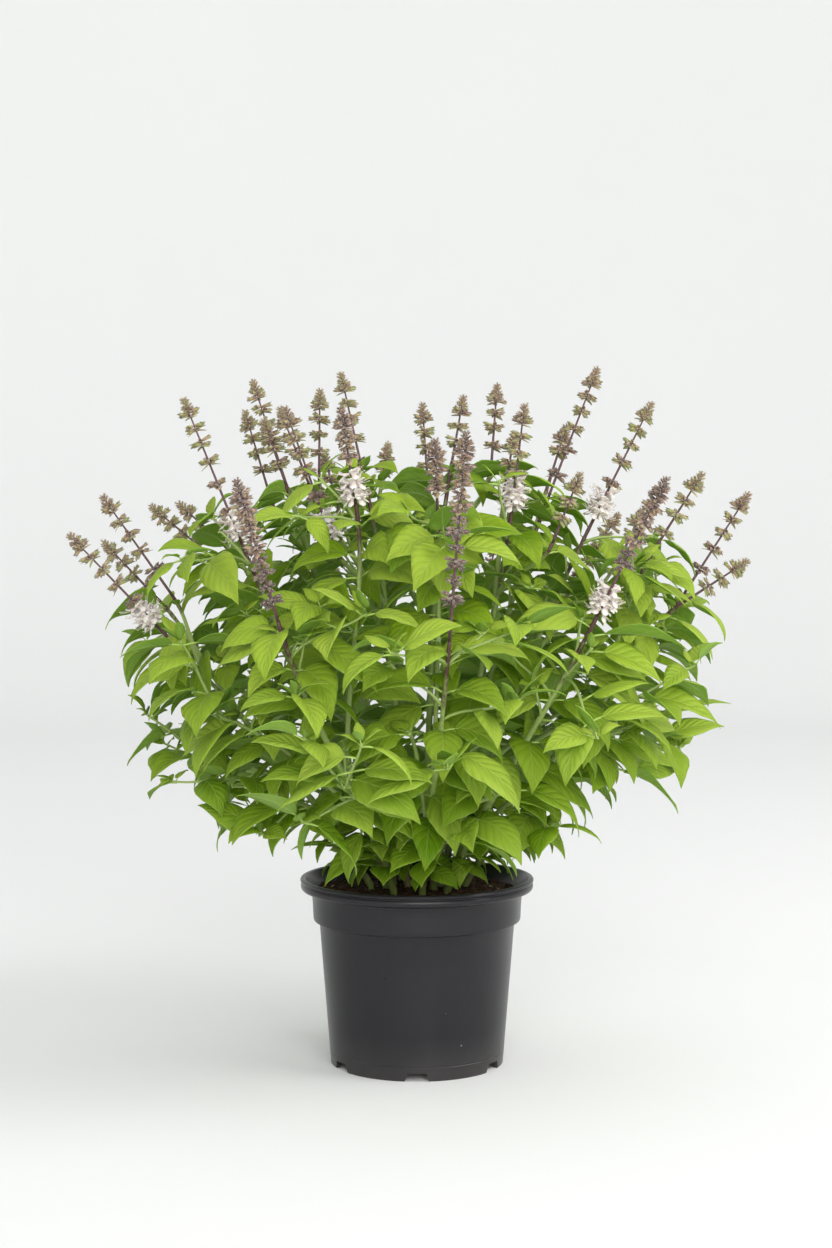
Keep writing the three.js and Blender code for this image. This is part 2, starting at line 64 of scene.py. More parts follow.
# Studio: a sweep of matt white paper that turns up into a wall all round, lit by a pale sky through
# its open top, a large lamp at the upper right, a wider one in front and a faint one on the wall behind.
# The paper is painted a little whiter round the pot, a painted pool of light against the plant's shade.
def colour(code):
    parts = [int(code[i : i + 2], 16) / 255 for i in (1, 3, 5)]
    linear = [c / 12.92 if c <= 0.04045 else ((c + 0.055) / 1.055) ** 2.4 for c in parts]
    return (*linear, 1.0)


# Adds a node with its settings and links. Inputs go by name or number: a Mix takes its share and its two
# colours at 0, 6 and 7, and a MapRange its value at 0, the range it has at 1 and 2 and the one it gets
# at 3 and 4. Scales of noise count per metre, so a scale of 500 has clouds of 2 mm. A new material comes
# with this function for its own nodes and with the place of each point on the piece.
def add_node(tree, kind, inputs=None, stops=None, **settings):
    node = tree.nodes.new("ShaderNode" + kind)
    if kind == "Mix":
        node.data_type = "RGBA"
    for name, value in settings.items():
        setattr(node, name, value)
    for place, value in (inputs or {}).items():
        if isinstance(value, bpy.types.Node):
            value = next(socket for socket in value.outputs if socket.enabled)
        if isinstance(value, bpy.types.NodeSocket):
            tree.links.new(value, node.inputs[place])
        else:
            node.inputs[place].default_value = colour(value) if isinstance(value, str) else value
    if stops:
        marks = node.color_ramp.elements
        while len(marks) < len(stops):
            marks.new(1.0)
        for mark, (at, shade) in zip(marks, stops):
            mark.position, mark.color = at, colour(shade)
    return node


def new_material(name):
    made = bpy.data.materials.new(name)
    made.use_nodes = True
    tree = made.node_tree
    tree.nodes.clear()
    add = partial(add_node, tree)
    return made, add, add("NewGeometry").outputs["Position"]


def new_piece(name, points, faces, materials, looks=None, spots=None, traits=None):
    mesh = bpy.data.meshes.new(name)
    mesh.from_pydata((np.asarray(points, float) * MM).tolist(), [], faces)
    mesh.shade_smooth()
    for made in materials:
        mesh.materials.append(made)
    if looks is not None:
        mesh.polygons.foreach_set("material_index", np.asarray(looks, np.int32))
    corners = np.empty(len(mesh.loops), np.int32)
    mesh.loops.foreach_get("vertex_index", corners)
    if spots is not None:
        layer = mesh.uv_layers.new(name="blade")
        layer.data.foreach_set("uv", np.asarray(spots, np.float32)[corners].ravel())
    for trait, values in (traits or {}).items():
        layer = mesh.attributes.new(trait, "FLOAT", "POINT")
        layer.data.foreach_set("value", np.asarray(values, np.float32))
    piece = bpy.data.objects.new(name, mesh)
    scene.collection.objects.link(piece)
    return piece


def ring_quads(rings, around, first=0):
    k = np.arange(around)
    start = first + around * np.arange(rings - 1)[:, None]
    a, b = start + k, start + (k + 1) % around
    return np.stack([a, b, b + around, a + around], axis=-1).reshape(-1, 4).tolist()


def closed_rings(rings, around, first=0):
    last = first + (rings - 1) * around
    ends = [list(range(first, first + around))[::-1], list(range(last, last + around))]
    return ring_quads(rings, around, first) + ends


def turned(profile, sides):
    angle = np.linspace(0, 2 * math.pi, sides, endpoint=False)
    rings = [np.stack([r * np.cos(angle), r * np.sin(angle), 0 * angle + z], axis=1) for r, z in profile]
    return np.concatenate(rings)


SWEEP_FLAT, SWEEP_BEND, SWEEP_TOP = 2600, 1100, 3600
SWEEP_SIDES = 96
bend = np.linspace(0, math.pi / 2, 17)
profile = [(SWEEP_FLAT + SWEEP_BEND * math.sin(t), SWEEP_BEND * (1 - math.cos(t))) for t in bend]
profile = [(400, 0), *profile, (SWEEP_FLAT + SWEEP_BEND, SWEEP_TOP)]
faces = [face[::-1] for face in ring_quads(len(profile), SWEEP_SIDES)] + [list(range(SWEEP_SIDES))]

paper, add, place = new_material("matt white background paper")
mottle = add("TexNoise", {"Vector": place, "Scale": 1.5, "Detail": 2.0})
shade = add("Mix", {0: mottle, 6: "#EBECEB", 7: "#EEEFEE"})
far = add("VectorMath", {0: place}, operation="LENGTH").outputs["Value"]
# Painted light: the paper is made whiter within half a metre of the pot, standing in for light under the
# plant.
painted_light_near_pot = add("MapRange", {0: far, 1: 0.45, 2: 0.12})
shade = add("Mix", {0: painted_light_near_pot, 6: shade, 7: "#F4F4F4"})
skin = add("BsdfPrincipled", {"Base Color": shade, "Roughness": 0.9})
add("OutputMaterial", {"Surface": skin})
sweep = new_piece("paper_sweep", turned(profile, SWEEP_SIDES), faces, [paper])

world = bpy.data.worlds.new("pale sky")
scene.world = world
world.use_nodes = True
world.node_tree.nodes["Background"].inputs["Color"].default_value = (0.985, 0.985, 1.0, 1.0)
world.node_tree.nodes["Background"].inputs["Strength"].default_value = 0.72


def add_lamp(name, place, goal, size, power, shade):
    lamp = bpy.data.lights.new(name, "AREA")
    lamp.shape, lamp.size, lamp.energy, lamp.color = "DISK", size, power, shade
    hung = bpy.data.objects.new(name, lamp)
    scene.collection.objects.link(hung)
    hung.location = place
    hung.visible_camera = False
    aim = np.subtract(goal, place)
    hung.rotation_euler = (math.acos(-aim[2] / np.linalg.norm(aim)), 0, math.atan2(-aim[0], aim[1]))


add_lamp("key_lamp", (2.0, -0.6, 1.8), (0, 0, 0.25), 1.5, 28, (1.0, 0.985, 0.975))
add_lamp("front_lamp", (0.4, -3.0, 1.3), (0, 0, 0.25), 2.4, 68, (1.0, 0.99, 0.99))
add_lamp("wall_lamp", (0, 1.2, 2.6), (0, 3.7, 0.9), 2.0, 6, (1.0, 1.0, 1.0))


# Pot: a 17 cm nursery pot, injection moulded in one piece from carbon-black polypropylene, with a
# two-step rolled rim, a collar, a tapering wall and a foot ring with six drainage notches.
POT_SIDES = 144
COLLAR_FOOT = 103
BODY_TOP_RADIUS, BASE_RADIUS = 71.1, 62.6
FLOOR_TOP = 5


def wall_radius(z):
    return BASE_RADIUS + (BODY_TOP_RADIUS - BASE_RADIUS) * z / COLLAR_FOOT


POT_PROFILE = [
    (9, 3), (58.4, 3), (59.2, 2.4), (59.4, 0.4), (59.8, 0), (62.1, 0), (62.6, 0.5),
    (wall_radius(9.4), 9.4), (wall_radius(9.7) - 0.22, 9.7), (wall_radius(10.2) - 0.22, 10.2),
    (wall_radius(10.5), 10.5), (wall_radius(40), 40), (wall_radius(72), 72), (wall_radius(101.8), 101.8),
    (71.4, 102.8), (72.1, 103.1), (74.2, 103.2), (75, 103.7), (75.4, 104.8), (75.6, 107.5),
    (76, 116), (76.6, 122.6), (77.2, 124), (80.4, 124.7), (83.3, 125.6), (84.2, 126.4),
    (84.6, 127.6), (84.6, 129), (84.2, 129.9), (83.7, 130.3), (83.7, 130.8), (84.3, 131.2),
    (84.9, 131.8), (85, 132.7), (84.5, 133.6), (83.6, 134), (82.4, 134), (81.4, 133.5), (80.8, 132.5),
    (78.9, 128.5), (75.8, 124.4), (74.4, 116), (73.8, 106.6), (73, 105), (70.2, 103.8), (69.4, 102.4),
    (wall_radius(55) - 1.9, 55), (61.8, 6.4), (61, 5.3), (59.8, FLOOR_TOP), (9, FLOOR_TOP),
]
NOTCHES = 6
NOTCH_FOOT, NOTCH_TOP, NOTCH_HEIGHT = 8.75, 6.75, 6
NOTCH_FROM, NOTCH_TO = 54, 66

faces = closed_rings(len(POT_PROFILE), POT_SIDES)
pot = new_piece("nursery_pot", turned(POT_PROFILE, POT_SIDES), faces, [])
corners, cuts = [], []
for i in range(NOTCHES):
    turn = -math.pi / 2 + i * 2 * math.pi / NOTCHES
    out, side = np.array([math.cos(turn), math.sin(turn)]), np.array([-math.sin(turn), math.cos(turn)])
    section = [(-NOTCH_FOOT, -1), (NOTCH_FOOT, -1), (NOTCH_FOOT, 0), (NOTCH_TOP, NOTCH_HEIGHT - 0.7),
               (NOTCH_TOP - 0.8, NOTCH_HEIGHT), (0.8 - NOTCH_TOP, NOTCH_HEIGHT),
               (-NOTCH_TOP, NOTCH_HEIGHT - 0.7), (-NOTCH_FOOT, 0)]
    cuts += closed_rings(2, len(section), len(corners))
    for far in (NOTCH_FROM, NOTCH_TO):
        corners += [(*(out * far + side * x), z) for x, z in section]
cutter = new_piece("notch_cutter", corners, cuts, [])
for piece in (pot, cutter):
    piece.data.update()
trim = pot.modifiers.new("notches", "BOOLEAN")
trim.operation, trim.solver, trim.object = "DIFFERENCE", "EXACT", cutter
cut = bpy.data.meshes.new_from_object(pot.evaluated_get(bpy.context.evaluated_depsgraph_get()))
pot.modifiers.clear()
pot.data = cut
pot.data.name = "nursery_pot"
pot.data.set_sharp_from_angle(angle=math.radians(32))
bpy.data.objects.remove(cutter)

# Carbon-black polypropylene, moulded: a satin charcoal skin with a trace of purple, faint flow marks
# down the wall, pale dust low on it and small specks of dried soil.
plastic, add, place = new_material("moulded black polypropylene")
streak = add("TexNoise", {
    "Vector": add("VectorMath", {0: place, 1: (60.0, 60.0, 6.0)}, operation="MULTIPLY"),
    "Scale": 1.0, "Detail": 3.0})
cloud = add("TexNoise", {"Vector": place, "Scale": 14.0, "Detail": 4.0})
shade = add("Mix", {0: streak, 6: "#131116", 7: "#1A181D"})
high = add("SeparateXYZ", {0: place}).outputs["Z"]
low = add("MapRange", {0: high, 1: 0.0, 2: 0.03, 3: 0.3, 4: 0.0})
dust = add("Math", {0: low, 1: cloud}, operation="MULTIPLY")
cell = add("TexVoronoi", {"Vector": place, "Scale": 95.0, "Randomness": 1.0})
chance = add("SeparateColor", {0: cell.outputs["Color"]}).outputs["Red"]
spot = add("Math", {0: cell.outputs["Distance"], 1: 0.055}, operation="LESS_THAN")
rare = add("Math", {0: chance, 1: 0.9}, operation="GREATER_THAN")
speck = add("Math", {0: spot, 1: rare}, operation="MULTIPLY")
for share, tint in ((dust, "#6E6A66"), (speck, "#7C7670")):
    shade = add("Mix", {0: share, 6: shade, 7: tint})
gloss = add("MapRange", {0: cloud, 1: 0.3, 2: 0.7, 3: 0.27, 4: 0.36})
grain = add("TexNoise", {"Vector": place, "Scale": 900.0, "Detail": 2.0})
rise = add("Bump", {"Height": grain, "Strength": 0.12, "Distance": 0.0004})
skin = add("BsdfPrincipled", {
    "Base Color": shade, "Roughness": gloss, "Normal": rise, "IOR": 1.49, "Specular IOR Level": 0.4})
add("OutputMaterial", {"Surface": skin})
pot.data.materials.append(plastic)
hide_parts("pot")
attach(pot, "root")


# Soil: moist dark potting mix of peat and bark, filled to a centimetre under the rim, lumpy on top,
# with loose crumbs, bark fibres and a few pale grains of perlite lying on it.
class Heap:
    """Points and faces gathered for one piece, with each point's traits and each face's material."""

    def __init__(self):
        self.points, self.faces, self.looks, self.spots, self.traits = [], [], [], [], {}
        self.count = 0

    def put(self, points, faces, look=0, spots=None, **traits):
        points = np.asarray(points, float).reshape(-1, 3)
        self.faces += [[n + self.count for n in face] for face in faces]
        self.looks += [look] * len(faces) if np.isscalar(look) else list(look)
        self.points.append(points)
        self.spots.append(np.zeros((len(points), 2)) if spots is None else np.reshape(spots, (-1, 2)))
        for trait, value in traits.items():
            self.traits.setdefault(trait, []).append(np.broadcast_to(value, len(points)))
        self.count += len(points)

    def piece(self, name, materials):
        traits = {trait: np.concatenate(values) for trait, values in self.traits.items()}
        return new_piece(name, np.concatenate(self.points), self.faces, materials, self.looks,
                         np.concatenate(self.spots), traits)


SOIL_EDGE, SOIL_CROWN = 123, 126
SOIL_SIDES, SOIL_RINGS = 150, 44
SOIL_RADIUS = 74.8
dice = np.random.default_rng(2608)
LUMPS, CRUMBS = 420, 1500
lump_at = np.sqrt(dice.uniform(0, 1, LUMPS)) * SOIL_RADIUS
lump_turn = dice.uniform(0, 2 * math.pi, LUMPS)
lump_x, lump_y = lump_at * np.cos(lump_turn), lump_at * np.sin(lump_turn)
lump_wide, lump_high = dice.uniform(1.6, 6, LUMPS), dice.uniform(-0.8, 1.9, LUMPS)


def soil_top(x, y):
    share = np.hypot(x, y) / SOIL_RADIUS
    level = SOIL_CROWN + (SOIL_EDGE - SOIL_CROWN) * share**2 - 0.6
    far = (x[..., None] - lump_x) ** 2 + (y[..., None] - lump_y) ** 2
    return level + (lump_high * np.exp(-far / (2 * lump_wide**2))).sum(-1) * 0.8


turn = np.linspace(0, 2 * math.pi, SOIL_SIDES, endpoint=False)
reach = SOIL_RADIUS * np.linspace(0.02, 1, SOIL_RINGS)[::-1]
x, y = reach[:, None] * np.cos(turn), reach[:, None] * np.sin(turn)
top = np.stack([x, y, soil_top(x, y)], axis=-1)
SOIL_FLOOR = FLOOR_TOP + 0.3
UNDER_WALL = [
    (2, SOIL_FLOOR), (BASE_RADIUS - 1.7, SOIL_FLOOR), (BODY_TOP_RADIUS - 2.2, 103.5), (73.4, 106.5),
]
below = turned(UNDER_WALL, SOIL_SIDES).reshape(-1, SOIL_SIDES, 3)
rings = np.concatenate([below, top])
heap = Heap()
heap.put(rings, closed_rings(len(rings), SOIL_SIDES), tone=0.5)

CRUMB_FACES = [[0, 2, 4], [2, 1, 4], [1, 3, 4], [3, 0, 4], [2, 0, 5], [1, 2, 5], [3, 1, 5], [0, 3, 5]]
CRUMB = np.array([[1, 0, 0], [-1, 0, 0], [0, 1, 0], [0, -1, 0], [0, 0, 1], [0, 0, -1]], float)


def crumb(size, stretch):
    shape = CRUMB * size * dice.uniform(0.6, 1.2, (6, 1)) * [stretch, 1, dice.uniform(0.4, 0.9)]
    turn, tip = dice.uniform(0, 2 * math.pi), dice.uniform(-0.4, 0.4)
    shape = shape @ [[math.cos(tip), 0, math.sin(tip)], [0, 1, 0], [-math.sin(tip), 0, math.cos(tip)]]
    return shape @ [[math.cos(turn), math.sin(turn), 0], [-math.sin(turn), math.cos(turn), 0], [0, 0, 1]]


for i in range(CRUMBS):
    far, turn = math.sqrt(dice.uniform()) * (SOIL_RADIUS - 2.5), dice.uniform(0, 2 * math.pi)
    x, y = np.array([far * math.cos(turn)]), np.array([far * math.sin(turn)])
    fibre, grit = i % 6 == 0, i % 60 == 7
    size = dice.uniform(0.25, 0.5) if fibre else dice.uniform(0.5, 1.6)
    tone = 1.0 if grit else dice.uniform(0.6, 0.85) if fibre else dice.uniform(0, 0.6)
    shape = crumb(size, dice.uniform(5, 14) if fibre else dice.uniform(1, 1.8))
    heap.put(shape + [x[0], y[0], soil_top(x, y)[0] + size * 0.3], CRUMB_FACES, 1, tone=tone)

# Peat and bark: dull, nearly black when moist, with brown fibres; the grit is pale perlite.
peat, add, place = new_material("moist peat and bark mix")
coarse = add("TexNoise", {"Vector": place, "Scale": 260.0, "Detail": 6.0, "Roughness": 0.7})
shade = add("ValToRGB", {0: coarse}, stops=[
    (0.3, "#1A0F08"), (0.48, "#3A2416"), (0.6, "#5E4027"), (0.78, "#8A6440")])
rise = add("Bump", {"Height": coarse, "Strength": 0.9, "Distance": 0.0012})
skin = add("BsdfPrincipled", {
    "Base Color": shade, "Roughness": 0.9, "Normal": rise, "Specular IOR Level": 0.25})
add("OutputMaterial", {"Surface": skin})

bark, add, place = new_material("loose bark crumbs and perlite")
tone = add("Attribute", attribute_name="tone").outputs["Fac"]
fine = add("TexNoise", {"Vector": place, "Scale": 900.0, "Detail": 3.0})
shade = add("ValToRGB", {0: tone}, stops=[
    (0.0, "#1A100A"), (0.5, "#4A3019"), (0.8, "#855F39"), (1.0, "#CFC5AE")])
shade = add("Mix", {0: fine, 6: shade, 7: "#1A0F08"})
skin = add("BsdfPrincipled", {"Base Color": shade, "Roughness": 0.85, "Specular IOR Level": 0.3})
add("OutputMaterial", {"Surface": skin})
soil = heap.piece("potting_soil", [peat, bark])
soil.data.set_sharp_from_angle(angle=math.radians(60))
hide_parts("soil")
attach(soil, "root")


# Stems: fourteen square green stems rise from the soil, fork, and end in flower spikes. Each carries
# opposite pairs of leaves, every pair a quarter turn round from the last. A shoot is given by the
# foot and the tip of its spike, and by whether open flowers ring its foot; the main one comes first.
STEMS = {
    "left": [
        ((-185, -30, 317), (-248, -45, 385), True),
        ((-178, -4, 339), (-230, -5, 413), False),
        ((-192, 28, 335), (-236, 42, 379), False),
    ],
    "left_upper": [
        ((-127, -15, 378), (-169, -20, 483), True),
        ((-150, 50, 380), (-182, 58, 408), False),
        ((-160, 84, 368), (-208, 103, 406), False),
    ],
    "back_left": [
        ((-97, 50, 417), (-125, 62, 501), False),
        ((-112, 82, 410), (-134, 101, 480), False),
        ((-80, 30, 420), (-103, 33, 479), False),
        ((-96, 8, 420), (-113, 6, 469), False),
    ],
    "middle_left": [
        ((-37, 2, 417), (-56, 0, 503), False),
        ((-60, -40, 378), (-94, -50, 475), True),
        ((-74, 60, 430), (-74, 72, 495), False),
        ((-65, 100, 418), (-73, 112, 448), False),
    ],
    "front_left": [
        ((-92, -150, 327), (-117, -187, 421), False),
        ((-42, -95, 405), (-52, -110, 472), True),
    ],
    "front": [
        ((21, -175, 315), (31, -218, 451), False),
        ((14, -100, 400), (12, -115, 450), False),
    ],
    "middle": [
        ((26, 30, 437), (35, 36, 488), False),
        ((8, 72, 426), (4, 87, 485), False),
        ((57, 75, 438), (62, 92, 500), False),
        ((-28, 112, 420), (-22, 124, 456), False),
    ],
    "middle_right": [
        ((67, -45, 400), (76, -56, 477), True),
        ((66, 8, 425), (72, 10, 460), False),
        ((95, -65, 378), (114, -80, 428), False),
    ],
    "back_right": [
        ((98, 42, 410), (137, 56, 510), False),
        ((104, 92, 430), (117, 106, 469), False),
    ],
    "right_upper": [
        ((130, 12, 395), (174, 18, 482), True),
        ((160, 88, 372), (176, 100, 404), False),
    ],
    "front_right": [
        ((121, -130, 330), (164, -167, 423), True),
    ],
    "right": [
        ((197, 15, 340), (246, 20, 415), False),
        ((190, -34, 335), (237, -40, 366), False),
        ((168, -58, 375), (200, -70, 428), False),
    ],
    "rear_left": [
        ((-60, 176, 320), (-84, 221, 395), False),
        ((-118, 142, 335), (-158, 180, 396), False),
    ],
    "rear_right": [
        ((52, 174, 325), (72, 221, 400), False),
        ((124, 138, 342), (164, 172, 400), False),
    ],
}
STEM_FOOT_HALF, BRANCH_HALF, SHOOT_HALF, STEM_TOP_HALF = 2.4, 1.7, 1.4, 1.15
LOW_JOINT, TOP_JOINT, LEAF_REACH, MOST_BALLS = 160, 420, 85, 90000
ROOT_SPREAD, LEAN_AT_SOIL, CURVE_PULL = 0.18, 0.25, 0.35
FORK_LOWEST, FORK_FALL = 0.35, 0.7
LOW_OUT, LOW_HIGH, LOW_TURN, LOW_START, LOW_TRIES = (105, 165), (200, 262), (0.15, 0.7), (0.18, 0.34), 20
LOW_RISE, LOW_END_RISE = 0.9, 0.35
LOW_LEAF, TOP_LEAF = 66, 54
LEAF_HALF_WIDTH = 0.215
TOP_PAIR, PAIR_STEP, PAIR_GROWTH, BARE_FOOT = 9, 28, 1.2, 34
BARE_SHOOT = 0.6 * BARE_FOOT
NODE_BAND, DROOP, FACE_OUT, LEAF_TRIES = 2, 1.5, 0.8, 8
FREE_TURN, TURN_OUT, SPREAD, LENGTH_SHARE = (-0.5, 0.5), (0.25, 0.7), (-0.35, 0.35), (0.8, 1.1)
LEAF_RISE, RISE_WITH_HEIGHT, RISE_SPREAD = 0.1, 0.5, (-0.2, 0.35)
BUSH_RADIUS, BUSH_WAIST, BUSH_ABOVE, BUSH_BELOW = 238, 285, 168, 152
LEAF_BALL, STEM_BALL, SPIKE_BALL, ROOT_ZONE, BALL_STEP = 3.4, 3.4, 8.5, 14, 6
FLOWERS_ABOVE_FOOT, FLOWER_REACH = 9, 15
UP = np.array([0.0, 0.0, 1.0])
DRAW_FACTOR, DRAW_CYCLE = 16807, 2147483647
seed = 193


def draw(low, high):
    global seed
    seed = (seed * DRAW_FACTOR) % DRAW_CYCLE
    return low + (high - low) * seed / DRAW_CYCLE


def unit(way):
    return way / np.linalg.norm(way)


def curve(start, start_way, end, end_way):
    pull = CURVE_PULL * np.linalg.norm(end - start)
    return np.array([start, start + start_way * pull, end - end_way * pull, end])


def along(path, t):
    t = np.asarray(t, float)[..., None]
    k = 1 - t
    return k**3 * path[0] + 3 * k * k * t * path[1] + 3 * k * t * t * path[2] + t**3 * path[3]


def heading_of(path, t):
    t = np.asarray(t, float)
    step = along(path, np.minimum(t + 1e-4, 1)) - along(path, np.maximum(t - 1e-4, 0))
    return step / np.linalg.norm(step, axis=-1, keepdims=True)


def chord(path):
    return np.linalg.norm(path[3] - path[0])


# What has grown so far, as balls with a room round each and the number of their stem.
grown, grown_room, grown_stem = np.zeros((MOST_BALLS, 3)), np.zeros(MOST_BALLS), np.zeros(MOST_BALLS, int)
grown_count = 0


def claim(places, room, stem):
    global grown_count
    places = np.reshape(places, (-1, 3))
    rows = slice(grown_count, grown_count + len(places))
    grown[rows], grown_room[rows], grown_stem[rows] = places, room, stem
    grown_count += len(places)


def path_places(path):
    return along(path, np.linspace(0, 1, math.ceil(chord(path) / BALL_STEP) + 1))


def is_open(path, stem, room=STEM_BALL):
    others = grown_stem[:grown_count] != stem
    balls, rooms = grown[:grown_count][others], grown_room[:grown_count][others]
    gaps = np.linalg.norm(path_places(path)[:, None] - balls, axis=-1)
    return bool((gaps > rooms + room).all())


def is_clear(places, stem, root, room=LEAF_BALL, below=BUSH_BELOW):
    out, high = np.hypot(places[:, 0], places[:, 1]) / BUSH_RADIUS, places[:, 2] - BUSH_WAIST
    if (np.hypot(out, high / np.where(high > 0, BUSH_ABOVE, below)) > 1).any():
        return False
    balls, rooms = grown[:grown_count], grown_room[:grown_count]
    own = (grown_stem[:grown_count] == stem) & (np.linalg.norm(balls - root, axis=1) < ROOT_ZONE)
    near = ~own & (np.abs(balls - root) < LEAF_REACH).all(axis=1)
    gaps = np.linalg.norm(places[:, None] - balls[near], axis=-1)
    return bool((gaps > rooms[near] + room).all())


def leaf_line(leaf, u):
    u = np.asarray(u, float)
    rise, droop, length = leaf["rise"], leaf["droop"], leaf["length"]
    angle = rise - droop * u
    level = np.array([math.cos(leaf["heading"]), math.sin(leaf["heading"]), 0.0])
    out = length / droop * (math.sin(rise) - np.sin(angle))
    high = length / droop * (np.cos(angle) - math.cos(rise))
    place = leaf["root"] + out[..., None] * level + high[..., None] * UP
    across = np.cross(UP, level) * math.cos(leaf["roll"]) + UP * math.sin(leaf["roll"])
    way = np.cos(angle)[..., None] * level + np.sin(angle)[..., None] * UP
    face = np.cross(way, across)
    return place, across, way, face / np.linalg.norm(face, axis=-1, keepdims=True)


ROOM_U = np.array([0.14, 0.28, 0.42, 0.57, 0.72, 0.86, 1.0])
ROOM_WIDTH = np.array([0, 0.4, 0.9, 0.85, 0.6, 0.25, 0])


def leaf_places(leaf):
    place, across, _, _ = leaf_line(leaf, ROOM_U)
    wide = ROOM_WIDTH > 0.3
    reach = (ROOM_WIDTH * leaf["length"] * LEAF_HALF_WIDTH)[wide, None] * across
    return np.concatenate([place, place[wide] + reach, place[wide] - reach])


def stem_frame(lean, path, share):
    way = heading_of(path, share)
    side = np.cross(way, np.array([math.cos(lean), math.sin(lean), 0.0]))
    side = side / np.linalg.norm(side, axis=-1, keepdims=True)
    return along(path, share), way, side, np.cross(side, way)


def height_share(place):
    return min(1, max(0, (place[2] - LOW_JOINT) / (TOP_JOINT - LOW_JOINT)))


def swing_between(heading, goal):
    return math.atan2(math.sin(goal - heading), math.cos(goal - heading))


def add_axis(stem, path, half, top, kind, ball=STEM_BALL):
    stem["axes"].append({"path": path, "half": half, "top": top, "kind": kind, "pairs": []})
    claim(path_places(path), ball, stem["number"])


stems = []
for number, (name, spikes) in enumerate(STEMS.items()):
    spikes = [(np.array(foot, float), np.array(tip, float), flowers) for foot, tip, flowers in spikes]
    crown = spikes[0][0]
    root = np.array([crown[0] * ROOT_SPREAD, crown[1] * ROOT_SPREAD, SOIL_CROWN + 2])
    stem = {"name": name, "number": number, "root": root, "lean": math.atan2(crown[1], crown[0]),
            "spikes": spikes, "axes": [], "leaves": []}
    stems.append(stem)
    for i, (end, tip, flowers) in enumerate(spikes):
        way = unit(tip - end)
        if i == 0:
            start, leave, half = root, unit(unit(crown - root) + UP * LEAN_AT_SOIL), STEM_FOOT_HALF
        else:
            below = np.linalg.norm(end - crown) / (FORK_FALL * np.linalg.norm(root - crown))
            share = max(FORK_LOWEST, 1 - below)
            trunk = stem["axes"][0]["path"]
            start = along(trunk, share)
            leave, half = unit(unit(end - start) + heading_of(trunk, share)), BRANCH_HALF
        add_axis(stem, curve(start, leave, end, way), half, STEM_TOP_HALF, "branch" if i else "main")
        steps = math.ceil(np.linalg.norm(tip - end) / BALL_STEP)
        claim([end + (tip - end) * k / steps for k in range(1, steps + 1)], SPIKE_BALL, number)
        if flowers:
            claim(end + way * FLOWERS_ABOVE_FOOT, FLOWER_REACH, number)
for stem in stems:
    for side in (-1, 1):
        for _ in range(LOW_TRIES):
            turn = stem["lean"] + side * draw(*LOW_TURN)
            out = draw(*LOW_OUT)
            start = along(stem["axes"][0]["path"], draw(*LOW_START))
            end = np.array([out * math.cos(turn), out * math.sin(turn), draw(*LOW_HIGH)])
            level = unit((end - start) * [1, 1, 0])
            path = curve(start, unit(level + UP * LOW_RISE), end, unit(level + UP * LOW_END_RISE))
            if is_open(path, stem["number"]):
                add_axis(stem, path, SHOOT_HALF, STEM_TOP_HALF, "low")
                break
for stem in stems:
    for axis in stem["axes"]:
        path = axis["path"]
        long = chord(path)
        turn = draw(0, math.pi)
        bare = BARE_FOOT if axis["kind"] == "main" else BARE_SHOOT
        far, step, k = (NODE_BAND + 1 if axis["kind"] == "low" else TOP_PAIR), PAIR_STEP, 0
        while far < long - bare:
            share = 1 - far / long
            root, _, side, face = stem_frame(stem["lean"], path, share)
            sides, used = [-face, -side, face, side], set()
            axis["pairs"].append(share)
            high = height_share(root)
            outward = math.atan2(root[1], root[0])
            for opposite in (0, math.pi):
                for _ in range(LEAF_TRIES):
                    free = turn + k * (math.pi / 2) + opposite + draw(*FREE_TURN)
                    heading = free + swing_between(free, outward) * draw(*TURN_OUT)
                    leaf = {"root": root, "heading": heading,
                            "rise": LEAF_RISE + RISE_WITH_HEIGHT * high + draw(*RISE_SPREAD),
                            "droop": DROOP + draw(*SPREAD),
                            "roll": FACE_OUT * math.sin(heading - outward) + draw(*SPREAD),
                            "length": (LOW_LEAF + (TOP_LEAF - LOW_LEAF) * high) * draw(*LENGTH_SHARE)}
                    start = leaf_line(leaf, 0)[2]
                    fits = [-1 if i in used else float(way @ start) for i, way in enumerate(sides)]
                    places = leaf_places(leaf)
                    if max(fits) < 0.5 or not is_clear(places, stem["number"], root):
                        continue
                    claim(places, LEAF_BALL, stem["number"])
                    used.add(fits.index(max(fits)))
                    leaf["age"] = 1.0
                    stem["leaves"].append(leaf)
                    break
            far, step, k = far + step, step * PAIR_GROWTH, k + 1

